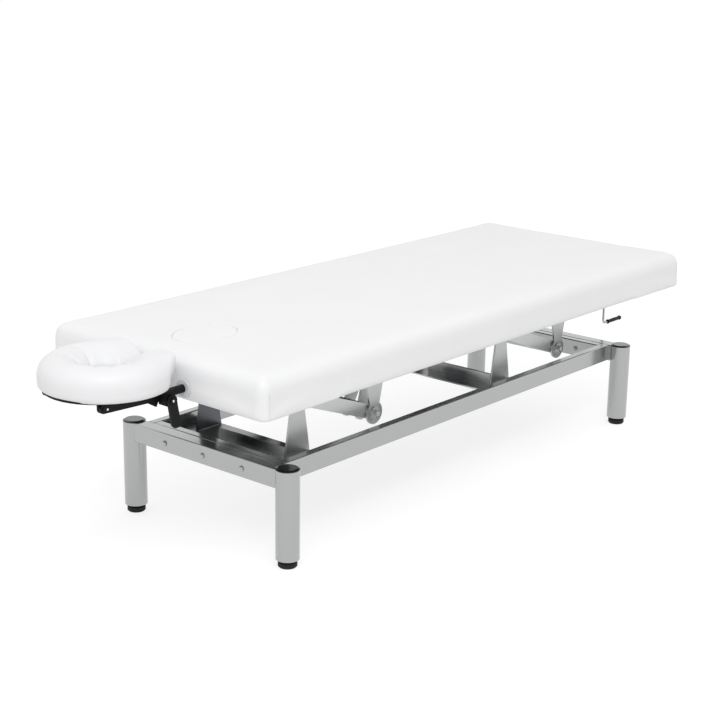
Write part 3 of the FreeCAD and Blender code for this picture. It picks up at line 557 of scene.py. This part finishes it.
def pad_profile():
    """Inset and height of each loop of the pad, from its foot over the rolled edge."""
    profile = []
    for step in range(pad_foot_steps + 1):
        turn = math.radians(90 / pad_foot_steps * step)
        profile.append((pad_foot_r * (1 - math.sin(turn)), pad_foot + pad_foot_r * (1 - math.cos(turn))))
    for step in range(pad_edge_steps + 1):
        turn = math.radians(90 / pad_edge_steps * step)
        profile.append((pad_edge_r * (1 - math.cos(turn)), pad_top - pad_edge_r * (1 - math.sin(turn))))
    return profile


def pad_share(z):
    """Height between the foot of the pad and its top, as a share."""
    return (z - pad_foot) / (pad_top - pad_foot)


def mattress():
    """Pad with a crown, soft faces and drawn-in sides, whose cover laps over the board's edge."""
    loops = [pad_loop(pad_inset + inset, z) for inset, z in pad_profile()]
    vertices, faces = stacked_loops(loops)
    piece = piece_from("mattress_pad", vertices, faces, pad_vinyl, "top")
    remeshed(piece, pad_voxel)
    apply_modifiers(piece)
    group = piece.vertex_groups.new(name="upper")
    upper = [v.index for v in piece.data.vertices if v.co.z > pad_foot + pad_smooth_from]
    group.add(upper, 1.0, "REPLACE")
    smoothed(piece).vertex_group = group.name
    apply_modifiers(piece)
    piece.vertex_groups.clear()
    crown(piece)
    puff(piece, pad_pressure, pad_swell_cap, pad_foot + pad_pinned)
    unevenness(piece)
    clear_grommets(piece)
    pucker(piece)
    piece.data.update()
    subdivided(piece)
    piece.data.shade_smooth()
    return piece


def crown(piece):
    """Lifts the pad's upper half towards its middle."""
    for vertex in piece.data.vertices:
        height = pad_share(vertex.co.z)
        if height > 0.5:
            x, y = (vertex.co.x - pad_middle.x) / pad_half_x, vertex.co.y / pad_half_y
            lift = pad_crown * max(0, 1 - y * y) * max(0, 1 - abs(x) ** pad_crown_power)
            vertex.co.z += lift * (height - 0.5) * 2 * pad_crown_share


def unevenness(piece):
    """Faint waves of foam under the cover, and finer ripples."""
    wave_along, wave_up = 5, 9
    ripple_along, ripple_up, ripple_shift = 21, 30, 7
    least_height, fade = 0.04, 4
    for vertex, normal in with_normals(piece):
        co = vertex.co
        height = pad_share(co.z)
        if height > least_height:
            wave = noise_at(co.x * wave_along, co.y * wave_along, co.z * wave_up)
            ripple = noise_at(co.x * ripple_along, co.y * ripple_along, co.z * ripple_up + ripple_shift)
            vertex.co += normal * (pad_wave * wave + pad_ripple * ripple) * min(1, height * fade)


def seam_places():
    """X of the upright seam at each corner of the pad, with the sign of its side."""
    for x in (pad_low.x + pad_corner_r, pad_high.x - pad_corner_r):
        for side in (-1, 1):
            yield x, side


pleat_reach = 60 * mm
pleat_width = 22 * mm
pleat_from_side = 50 * mm
pleat_from_top = 45 * mm
pleat_fade = 20 * mm
pleat_depth = 0.9 * mm
pleat_turns = 330


def pucker(piece):
    """Small pleats in the pad's roll above each corner seam."""
    moved = with_normals(piece)
    for x, side in seam_places():
        for vertex, normal in moved:
            co = vertex.co
            near_side = co.y * side > pad_high.y - pleat_from_side
            if abs(co.x - x) < pleat_reach and near_side and co.z > pad_top - pleat_from_top:
                reach = (co.x - x) / pleat_width
                fade = math.exp(-reach * reach) * min(1, (co.z - pad_top + pleat_from_top) / pleat_fade)
                wave = 0.5 + 0.5 * math.cos((co.x - x) * pleat_turns)
                vertex.co -= normal * pleat_depth * fade * wave


seam_cast_from = 1000 * mm
seam_steps = 13
seam_foot = 4 * mm
seam_r = 0.55 * mm
seam_proud = 0.1 * mm
seam_end = 38 * mm
stitch_r = 0.6 * mm
stitch_half = 2 * mm
stitch_offset = 4 * mm
stitch_start = 30 * mm
stitch_pitch = 7 * mm
stitch_rows = 3


def corner_seams(pad):
    """Fine sewn seam up each corner of the pad, with three pairs of stitches where it meets the roll."""
    tree = surface_tree(pad)
    pieces = []
    for x, side in seam_places():
        inward = Vector((0, -side, 0))
        route = []
        for step in range(seam_steps + 1):
            z = pad_foot + seam_foot + (pad_top - seam_end - pad_foot) * step / seam_steps
            hit = tree.ray_cast(Vector((x, side * seam_cast_from, z)), inward)
            route.append(hit[0] - inward * seam_proud)
        pieces.append(bead("seam", route, seam_r, "top", seam_vinyl))
        for row in range(stitch_rows):
            z = pad_top - stitch_start - stitch_pitch * row
            for offset in (-stitch_offset, stitch_offset):
                hit = tree.ray_cast(Vector((x + offset, side * seam_cast_from, z)), inward)
                half = Vector((stitch_half, 0, 0))
                pieces.append(bead("stitch", [hit[0] - half, hit[0] + half], stitch_r, "top", seam_vinyl))
    join("pad_corner_seams", pieces)


press_depth = 30 * mm
press_gap = 0.2 * mm
press_reach_share = 2
press_fade_share = 0.8


def clear_grommets(piece):
    """Presses the head face flat behind the grommets."""
    low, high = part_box("cradle_grommets")
    ring = (high.z - low.z) / 2
    z = (low.z + high.z) / 2
    for side in (-1, 1):
        y = side * ((high.y - low.y) / 2 - ring)
        for vertex in piece.data.vertices:
            if vertex.co.x > high.x + press_depth:
                continue
            reach = math.hypot(vertex.co.y - y, vertex.co.z - z)
            if reach < press_reach_share * ring:
                hold = min(1, max(0, (press_reach_share * ring - reach) / (press_fade_share * ring)))
                back = max(vertex.co.x, high.x + press_gap)
                vertex.co.x += (back - vertex.co.x) * hold


# Face hole: liner and plug

plug_low, plug_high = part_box("face_plug")
hole_centre = (plug_low + plug_high) / 2
plug_half_x = (plug_high.x - plug_low.x) / 2
plug_half_y = (plug_high.y - plug_low.y) / 2
hole_gap = 1.2 * mm
lip_r = 1.4 * mm
lip_steps = 5
lip_skin = 0.4 * mm
lip_drop = 0.1 * mm
lip_lead = 0.1 * mm
lip_wall_drop = 1.6 * mm
lip_lead_drop = 0.5 * mm
liner_rise = 1 * mm
liner_foot = pad_foot + liner_rise
oval_steps = 112
plug_skin = 0.8 * mm
plug_edge_r = 3 * mm
plug_edge_steps = 6
plug_rise = 1.0 * mm
plug_drop = 0.3 * mm
plug_dome_steps = 9
plug_dome_half = 6 * mm
plug_foot_profile = ((6 * mm, 0), (3 * mm, 1 * mm), (2.2 * mm, 6 * mm), (1 * mm, 40 * mm))
cast_over = 100 * mm


def oval_loop(grow, z):
    """Loop about the face hole, grown from the plug's outline; z is a height or a function of x and y."""
    loop = []
    for step in range(oval_steps):
        turn = 2 * math.pi * step / oval_steps
        x = hole_centre.x + (plug_half_x + grow) * math.cos(turn)
        y = (plug_half_y + grow) * math.sin(turn)
        loop.append(Vector((x, y, z(x, y) if callable(z) else z)))
    return loop


def pad_surface(pad):
    """Function that turns a drop into a height at x and y: that of the pad's top, less the drop."""
    tree = surface_tree(pad)

    def below(drop):
        def height(x, y):
            return tree.ray_cast(Vector((x, y, pad_high.z + cast_over)), Vector((0, 0, -1)))[0].z - drop
        return height
    return below


def hole_liner(below):
    """Sewn-in sleeve of the face hole, with a rolled lip that meets the pad's top."""
    outer = hole_gap + lip_r
    loops = [oval_loop(outer, liner_foot), oval_loop(outer, below(lip_wall_drop)),
             oval_loop(outer - lip_lead, below(lip_lead_drop))]
    for step in range(lip_steps + 1):
        turn = math.radians(90 / lip_steps * step)
        grow = outer - lip_skin - (lip_r - lip_skin) * math.sin(turn)
        loops.append(oval_loop(grow, below(lip_r * (1 - math.cos(turn)) + lip_drop)))
    loops.append(oval_loop(hole_gap, liner_foot))
    vertices, faces = stacked_loops(loops, closed_ends=False)
    last = (len(loops) - 1) * oval_steps
    for i in range(oval_steps):
        j = (i + 1) % oval_steps
        faces.append((i, last + i, last + j, j))
    piece_from("face_hole_liner", vertices, faces, pad_vinyl, "top")


def face_plug(below):
    """Oval plug, a little domed, that fills the face hole."""
    loops = [oval_loop(-inset, plug_low.z + rise) for inset, rise in plug_foot_profile]
    for step in range(plug_edge_steps + 1):
        turn = math.radians(90 / plug_edge_steps * step)
        drop = plug_edge_r * (1 - math.sin(turn)) + plug_drop
        loops.append(oval_loop(plug_skin - plug_edge_r * (1 - math.cos(turn)), below(drop)))
    for step in range(1, plug_dome_steps):
        share = step / plug_dome_steps
        inset = plug_edge_r + (plug_half_y - plug_edge_r - plug_dome_half) * share
        loops.append(oval_loop(-inset, below(plug_drop - plug_rise * math.sin(share * math.pi / 2))))
    vertices, faces = stacked_loops(loops)
    piece = piece_from("face_hole_plug", vertices, faces, pad_vinyl, "plug")
    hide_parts("face_plug")


cutter_overrun = 20 * mm
bore_r = 13.4 * mm
bore_steps = 40
bore_inset = 13.1 * mm
bore_before = 30 * mm
bore_beyond = 1 * mm


def open_pad(pad):
    """Cuts the face hole and the two bores for the cradle's sockets."""
    heights = (pad_low.z - cutter_overrun, pad_high.z + cutter_overrun)
    vertices, faces = stacked_loops([oval_loop(hole_gap + lip_r, z) for z in heights])
    cut(pad, piece_from("hole_cutter", vertices, faces, pad_vinyl, "top"))
    low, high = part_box("cradle_sockets")
    socket_y = (high.y - low.y) / 2 - bore_inset
    for side in (-1, 1):
        ends = ((low.x - bore_before, bore_r), (high.x + bore_beyond, bore_r))
        vertices, faces = stacked_loops(lathe(ends, bore_steps, side * socket_y, high.z - bore_inset))
        cut(pad, piece_from("bore_cutter", vertices, faces, pad_vinyl, "top"))


# Face cushion

cushion_low, cushion_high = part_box("face_cushion")
cushion_room = 1 * mm
ring_r = (cushion_high.y - cushion_low.y) / 2 - cushion_room
ring_x = cushion_low.x + ring_r + cushion_room
ring_end = cushion_high.x - cushion_room
ring_open_r = 45 * mm
ring_flank = math.radians(58)
ring_tuck = 13 * mm
ring_gap = 4.5 * mm
ring_lip_r = 10 * mm
ring_corner_r = 16 * mm
ring_roll = 46 * mm
ring_slope = 60 * mm
ring_end_roll = 16 * mm
ring_outer_wall = 26 * mm
ring_inner_wall = 28 * mm
ring_end_wall = 54 * mm
ring_foot_r = 5 * mm
ring_droop = 7 * mm
ring_droop_at = 6 * mm
ring_droop_width = 5 * mm
ring_droop_from = -150 * mm
ring_droop_to = -118 * mm
ring_droop_share = 0.3
ring_round_share = 0.4
ring_scoop_power = 1.4
ring_thin_share = 0.6
ring_square_from = 75 * mm
ring_square_to = 5 * mm
ring_voxel = 4 * mm
cushion_h = cushion_high.z - cushion_low.z - 2 * cushion_room
cushion_pressure = 3.0
cushion_swell_cap = 3 * mm
cushion_pinned = 1.5 * mm


def arc_points(x, y, radius, start, stop, steps):
    for step in range(steps):
        turn = start + (stop - start) * step / steps
        yield Vector((x + radius * math.cos(turn), y + radius * math.sin(turn), 0))


def ring_outline():
    """Closed outline of the cushion: a ring with straight flanks, a square end and a narrow gap."""
    rim_steps, corner_steps, tip_steps, gap_steps, opening_steps = 60, 12, 10, 10, 40
    tip_x = ring_end - ring_x - ring_corner_r
    inner_y = ring_gap + ring_corner_r
    outer_y = (ring_r - ring_corner_r - tip_x * math.cos(ring_flank)) / math.sin(ring_flank)
    gap_y = ring_gap + ring_lip_r
    gap_x = math.sqrt((ring_open_r + ring_lip_r) ** 2 - gap_y ** 2)
    inner_turn = math.atan2(gap_y, gap_x)
    half = list(arc_points(ring_x, 0, ring_r, math.pi, ring_flank, rim_steps))
    half += arc_points(ring_x + tip_x, outer_y, ring_corner_r, ring_flank, 0, corner_steps)
    half += arc_points(ring_x + tip_x, inner_y, ring_corner_r, 0, -math.pi / 2, tip_steps)
    half += arc_points(ring_x + gap_x, gap_y, ring_lip_r, -math.pi / 2, inner_turn - math.pi, gap_steps)
    half += arc_points(ring_x, 0, ring_open_r, inner_turn, math.pi, opening_steps)
    inner_tip = Vector((ring_x - ring_open_r, 0, 0))
    return half + [inner_tip] + [Vector((p.x, -p.y, 0)) for p in reversed(half[1:])]


def ring_reach(ahead, y):
    """Distance from the ring's centre towards its rim, measured square to the flank beside the table."""
    if math.atan2(abs(y), ahead) < ring_flank:
        return ahead * math.cos(ring_flank) + abs(y) * math.sin(ring_flank)
    return math.hypot(ahead, y)


def rolled(distance, radius):
    """Share of the full drop at a distance from an edge with a quarter-round roll."""
    near = 1 - min(1, max(0, distance / radius))
    return 1 - math.sqrt(1 - near * near)


def blend_over(value, start, stop):
    """Smooth step from 0 at start to 1 at stop."""
    share = min(1, max(0, (value - start) / (stop - start)))
    return share * share * (3 - 2 * share)


def cushion_form(x, y):
    """Height of the cushion's skin over its foot and the lift of its foot, at a point in plan."""
    ahead = x - ring_x
    square = blend_over(x, ring_end - ring_square_from, ring_end - ring_square_to)
    roll = ring_roll + (ring_end_roll - ring_roll) * square
    wall = ring_outer_wall + (ring_end_wall - ring_outer_wall) * square
    rim = ring_r - ring_reach(ahead, y)
    outside = rolled(rim, roll) * (cushion_h - wall)
    end = rolled(ring_end - x, ring_end_roll) * (cushion_h - ring_end_wall)
    depth = math.hypot(ahead, y) - ring_open_r
    if ahead > 0:
        depth = min(depth, abs(y) - ring_gap)
    near = 1 - min(1, max(0, depth / ring_slope))
    scoop = (1 - ring_round_share) * near ** ring_scoop_power
    inside = (ring_round_share * rolled(depth, ring_slope) + scoop) * (cushion_h - ring_inner_wall)
    drop = math.sqrt(outside ** 2 + end ** 2 + inside ** 2)
    droop = math.exp(-((rim - ring_droop_at) / ring_droop_width) ** 2) * ring_droop
    fading = blend_over(ahead, ring_droop_from, ring_droop_to)
    droop *= ring_droop_share + (1 - ring_droop_share) * fading
    lift = ring_foot_r * (rolled(rim, ring_foot_r) + rolled(depth, ring_foot_r)) - droop
    return cushion_h - min(drop, cushion_h - ring_thin_share * ring_inner_wall), lift


def face_cushion():
    """Horseshoe cushion, plump outside, dished towards the opening and gathered there."""
    low = cushion_low.z
    outline = ring_outline()
    loops = [[p + Vector((0, 0, z)) for p in outline] for z in (low, low + cushion_h)]
    vertices, faces = stacked_loops(loops)
    piece = piece_from("face_cushion_cover", vertices, faces, cushion_vinyl, "head_rest")
    remeshed(piece, ring_voxel)
    apply_modifiers(piece)
    for vertex in piece.data.vertices:
        height, lift = cushion_form(vertex.co.x, vertex.co.y)
        share = (vertex.co.z - low) / cushion_h
        vertex.co.z = low + lift * (1 - share) + height * share
    remeshed(piece, ring_voxel)
    smoothed(piece)
    apply_modifiers(piece)
    tuck_ends(piece)
    puff(piece, cushion_pressure, cushion_swell_cap, low + cushion_pinned)
    subdivided(piece)
    gather(piece)
    piece.data.shade_smooth()
    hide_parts("face_cushion")


tuck_from = 70 * mm
tuck_to = 4 * mm
tuck_side_from = 50 * mm
tuck_side_to = 110 * mm
tuck_side_share = 0.8
tuck_power = 1.5


def tuck_ends(piece):
    """Draws the foot of the two square ends in, so that they lean out over the table's edge."""
    for vertex in piece.data.vertices:
        co = vertex.co
        share = blend_over(co.x, ring_end - tuck_from, ring_end - tuck_to)
        low = max(0, 1 - (co.z - cushion_low.z) / cushion_h) ** tuck_power
        side = blend_over(abs(co.y), tuck_side_from, tuck_side_to)
        co.x -= ring_tuck * share * low
        co.y -= math.copysign(ring_tuck * tuck_side_share * share * low * side, co.y)
    piece.data.update()


fold_count = 12
fold_depth = 7.5 * mm
fold_sharpness = 4
fold_foot_share = 0.15
fold_end_share = 0.72
fold_fade_power = 0.55
fold_turn = 2.1
fold_turn_fade = 0.7
fold_rise = 3
fold_drift, fold_drift_scale, fold_drift_seed = 1.8, 2.3, (3.1, 0.4)
fold_ripple, fold_ripple_scale, fold_ripple_seed = 3.5, 14, 2.7
fold_mean, fold_vary, fold_vary_scale, fold_vary_seed = 0.65, 0.8, 4.1, (9.7, 1.2)


def gather(piece):
    """Radial folds on the inner slope, deepest by the opening at the head end, fading at the crest."""
    slope = ring_r - ring_open_r
    for vertex, normal in with_normals(piece):
        co = vertex.co
        dx, dy = co.x - ring_x, co.y
        turn = math.atan2(dy, -dx)
        across = (math.hypot(dx, dy) - ring_open_r) / slope
        height = (co.z - cushion_low.z) / cushion_h
        if height < fold_foot_share or across > fold_end_share:
            continue
        jitter = fold_drift * noise_at(turn * fold_drift_scale, *fold_drift_seed)
        ripple_at = (co.x * fold_ripple_scale, co.y * fold_ripple_scale, fold_ripple_seed)
        jitter += fold_ripple * noise_at(*ripple_at)
        sharp = (0.5 + 0.5 * math.cos(turn * fold_count + jitter)) ** fold_sharpness
        strength = (1 - min(1, max(0, across / fold_end_share))) ** fold_fade_power
        head_end = blend_over(fold_turn - abs(turn), 0, fold_turn_fade)
        vary = fold_mean + fold_vary * noise_at(turn * fold_vary_scale, *fold_vary_seed)
        depth = fold_depth * sharp * strength * vary * head_end * min(1, height * fold_rise)
        vertex.co = co - normal * depth
    piece.data.update()


# Small bolt heads of the cradle and the hangers

pin_head_r = 3.2 * mm
arm_head_r = 3.4 * mm
arm_bolt_inset = 21 * mm
arm_bolt_drop = 12 * mm
bolt_dome_r = 5.5 * mm
rivet_steps = 28
rivet_profile = ((-0.2 * mm, 1.0), (0.5 * mm, 1.0), (1.2 * mm, 0.86), (1.7 * mm, 0.6), (1.9 * mm, 0.25))


def cradle_rivets():
    """Bright domed heads on the lever's pin and at the hinge of the head rest."""
    pin_low, pin_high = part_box("cam_pin")
    arm_low, arm_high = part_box("cradle_arms")
    bolt_x = arm_low.x + arm_bolt_inset
    bolt_z = arm_high.z - arm_bolt_drop
    pin_x, pin_z = (pin_low.x + pin_high.x) / 2, (pin_low.z + pin_high.z) / 2
    rivet("lever_pin_rivet", Vector((pin_x, pin_low.y, pin_z)), -1, pin_head_r, "cradle")
    for name, y, side in (("arm_bolt_near", arm_low.y, -1), ("arm_bolt_far", arm_high.y, 1)):
        rivet(name, Vector((bolt_x, y, bolt_z)), side, arm_head_r, "cradle_link")


def hanger_bolt_domes():
    """Polished domed ends on the hangers' pivot bolts."""
    low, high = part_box("hanger_pivot_bolts")
    half = (high.z - low.z) / 2
    for end, x in (("head", low.x + half), ("foot", high.x - half)):
        for name, y, side in (("near", low.y, -1), ("far", high.y, 1)):
            rivet("bolt_dome_" + end + "_" + name, Vector((x, y, low.z + half)), side, bolt_dome_r, "top")


def rivet(name, place, side, radius, body):
    """Domed head on a face square to Y, on the side given by its sign."""
    loops = [[place + Vector((x, side * out, z)) for x, z in circle(rivet_steps, radius * share)]
             for out, share in rivet_profile]
    vertices, faces = stacked_loops(loops)
    piece_from(name, vertices, faces, chrome, body)


# Threaded spindle

shaft_r = 9 * mm
shaft_steps = 36
shaft_chamfer = 1 * mm
thread_lead = 8 * mm
thread_crest_r = 9.9 * mm
thread_root_r = 8.5 * mm
thread_profile = ((0.0, thread_root_r), (0.18, thread_root_r),
                  (0.42, thread_crest_r), (0.72, thread_crest_r))
thread_start = 32 * mm
thread_past_nut = 20 * mm
thread_runout = 0.5 * mm
collar_r = 14 * mm
collar_len = 8 * mm
collar_chamfer = 0.8 * mm
block_half = 15 * mm
block_gap = 0.5 * mm


def collar(x):
    """Points of a chamfered collar on the shaft that starts at x."""
    stop = x + collar_len
    rim_r = collar_r - collar_chamfer
    return [(x, shaft_r), (x, rim_r), (x + collar_chamfer, collar_r), (stop - collar_chamfer, collar_r),
            (stop, rim_r), (stop, shaft_r)]


def thread_skin(start, stop, axis_y, axis_z):
    """Vertices and faces of one helical strip for each point of the thread's profile."""
    per_turn = len(thread_profile)
    total = (int((stop - start) / thread_lead) + 2) * per_turn
    vertices, faces = [], []
    for row in range(total):
        k, part = divmod(row, per_turn)
        shift, radius = thread_profile[part]
        for i, (y, z) in enumerate(circle(shaft_steps, radius)):
            x = start + (k - 1 + shift + i / shaft_steps) * thread_lead
            vertices.append(Vector((min(max(x, start), stop), axis_y + y, axis_z + z)))
    for row in range(total - 1):
        for i in range(shaft_steps - 1):
            a, b = row * shaft_steps + i, (row + 1) * shaft_steps + i
            faces.append((a, a + 1, b + 1, b))
        after = row + per_turn
        if after + 1 < total:
            a, b = row * shaft_steps + shaft_steps - 1, (row + 1) * shaft_steps + shaft_steps - 1
            faces.append((a, after * shaft_steps, (after + 1) * shaft_steps, b))
    return vertices, faces


def spindle():
    """Shaft with a rolled thread, two collars and chamfered ends."""
    low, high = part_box("spindle")
    axis = (low.y + high.y) / 2, (low.z + high.z) / 2
    blocks_low, blocks_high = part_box("bearing_blocks")
    thread_from = blocks_low.x + thread_start
    thread_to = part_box("spindle_nut")[1].x + thread_past_nut
    foot_block = blocks_high.x - block_half
    journal = [(low.x, shaft_r - shaft_chamfer), (low.x + shaft_chamfer, shaft_r), (thread_from, shaft_r)]
    shaft = [(thread_to - thread_runout, thread_root_r), (thread_to, shaft_r)]
    shaft += collar(foot_block - block_half - block_gap - collar_len)
    shaft += collar(foot_block + block_half + block_gap)
    shaft += [(high.x - shaft_chamfer, shaft_r), (high.x, shaft_r - shaft_chamfer)]
    parts = (("spindle_head_journal", stacked_loops(lathe(journal, shaft_steps, *axis)), True),
             ("spindle_thread", thread_skin(thread_from, thread_to, *axis), False),
             ("spindle_shaft", stacked_loops(lathe(shaft, shaft_steps, *axis)), False))
    for name, (vertices, faces), smooth in parts:
        piece = piece_from(name, vertices, faces, chrome, "crank", smooth=smooth)
    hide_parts("spindle")


# Welds and seams

bead_steps = 10
bead_pitch = 1.6 * mm
bead_taper = 3
bead_end_share = 0.4
bead_wave_share, bead_wave_turn = 0.14, 1.9
bead_grain_share, bead_grain_scale = 0.1, 300
bead_inset = 4 * mm
bracket_bead_r = 2.2 * mm
hanger_bead_r = 2 * mm


def bead(name, route, radius, body, material):
    """Lumpy bead along a straight or bent route."""
    points = []
    for a, b in zip(route, route[1:]):
        count = max(2, int((b - a).length / bead_pitch))
        points += [a.lerp(b, k / count) for k in range(count)]
    points.append(route[-1])
    last = len(points) - 1
    loops = []
    for k, point in enumerate(points):
        ahead = points[min(k + 1, last)] - points[max(k - 1, 0)]
        turn = ahead.to_track_quat("Z", "Y")
        taper = min(1, (k + bead_end_share) / bead_taper, (last - k + bead_end_share) / bead_taper)
        wave = bead_wave_share * math.sin(k * bead_wave_turn)
        size = radius * taper * (1 + wave + bead_grain_share * noise.noise(point * bead_grain_scale))
        loops.append([point + turn @ Vector((x, y, 0)) for x, y in circle(bead_steps, size)])
    vertices, faces = stacked_loops(loops)
    return piece_from(name, vertices, faces, material, body)


def join(name, pieces):
    """One piece out of several that ride on the same body."""
    bm = bmesh.new()
    for piece in pieces:
        bm.from_mesh(piece.data)
    mesh = bpy.data.meshes.new(name)
    bm.to_mesh(mesh)
    bm.free()
    material = pieces[0].data.materials[0]
    body = pieces[0]["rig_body"]
    for piece in pieces:
        bpy.data.objects.remove(piece)
    return piece_of(name, mesh, material, body)


def welds(name, carrier, at_top, radius, body, material):
    """Beads on both faces of the near and the far plate, along their feet or their heads."""
    beads = []
    for side in ("near", "far"):
        low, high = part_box(carrier + side)
        z = high.z if at_top else low.z
        for y in (low.y, high.y):
            route = [Vector((low.x + bead_inset, y, z)), Vector((high.x - bead_inset, y, z))]
            beads.append(bead("bead", route, radius, body, material))
    join(name, beads)


def plate_welds():
    for end in ("head", "foot"):
        welds(end + "_bracket_welds", end + "_pivot_bracket_", False, bracket_bead_r, "base", steel_cross_painted_light)
        welds(end + "_hanger_welds", end + "_hanger_", True, hanger_bead_r, "top", steel_light)


# Stage

key_place = Vector((-3.9, -3.45, 6.85))
key_aim = Vector((0, 0, 0.4))
key_size = 4.5
key_watts = 243
world_light = 0.72
floor_half = 30.0
floor_drop = 0.5 * mm
floor_pale = (0.80, 0.80, 0.80)
floor_seen = (0.32, 0.32, 0.32)
floor_lift = 0.785


def floor():
    """Pale floor that looks white to the camera and in reflections, and keeps the table's shadow."""
    material, tree = new_material("pale_floor")
    seen = seen_rays(tree)
    diffuse = node(tree, "BsdfDiffuse", {"Color": tint(tree, seen, floor_pale, floor_seen)})
    lift = computed(tree, "MULTIPLY", seen, floor_lift)
    glow = node(tree, "Emission", {"Color": (1, 1, 1, 1), "Strength": lift})
    both = node(tree, "AddShader", {0: diffuse.outputs[0], 1: glow.outputs[0]})
    node(tree, "OutputMaterial", {"Surface": both.outputs[0]})
    mesh = bpy.data.meshes.new("floor")
    rim = [(x * floor_half, y * floor_half, 0) for x, y in ((-1, -1), (1, -1), (1, 1), (-1, 1))]
    mesh.from_pydata(rim, [], [(0, 1, 2, 3)])
    mesh.materials.append(material)
    piece = bpy.data.objects.new("floor", mesh)
    scene.collection.objects.link(piece)
    piece.location.z = -floor_drop


def light_table():
    """Even pale world, white to the camera and in reflections, and one large soft lamp."""
    world = bpy.data.worlds.new("studio")
    scene.world = world
    world.use_nodes = True
    tree = world.node_tree
    tree.nodes.clear()
    strength = ramp(tree, seen_rays(tree), world_light, 1.0)
    back = node(tree, "Background", {"Color": (1, 1, 1, 1), "Strength": strength})
    node(tree, "OutputWorld", {"Surface": back.outputs[0]})
    lamp = bpy.data.lights.new("key", "AREA")
    lamp.energy = key_watts
    lamp.size = key_size
    lamp.shape = "DISK"
    holder = bpy.data.objects.new("key", lamp)
    scene.collection.objects.link(holder)
    holder.location = key_place
    holder.rotation_mode = "QUATERNION"
    holder.rotation_quaternion = (key_aim - key_place).to_track_quat("-Z", "Y")


def camera():
    lens = bpy.data.cameras.new("camera")
    lens.lens = camera_lens
    lens.sensor_width = camera_sensor
    lens.clip_start = 0.1
    lens.clip_end = 100
    holder = bpy.data.objects.new("camera", lens)
    scene.collection.objects.link(holder)
    turn = Matrix.Rotation(math.radians(camera_azimuth), 4, "Z")
    tilt = Matrix.Rotation(math.radians(90 - camera_elevation), 4, "X")
    roll = Matrix.Rotation(math.radians(camera_roll), 4, "Z")
    holder.matrix_world = Matrix.Translation(camera_place) @ turn @ tilt @ roll
    scene.camera = holder


finish_cad_nodes()
pad = mattress()
below_top = pad_surface(pad)
hole_liner(below_top)
face_plug(below_top)
open_pad(pad)
corner_seams(pad)
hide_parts("mattress")
face_cushion()
cradle_rivets()
hanger_bolt_domes()
spindle()
plate_welds()
floor()
light_table()
camera()
scene.view_settings.view_transform = "Standard"
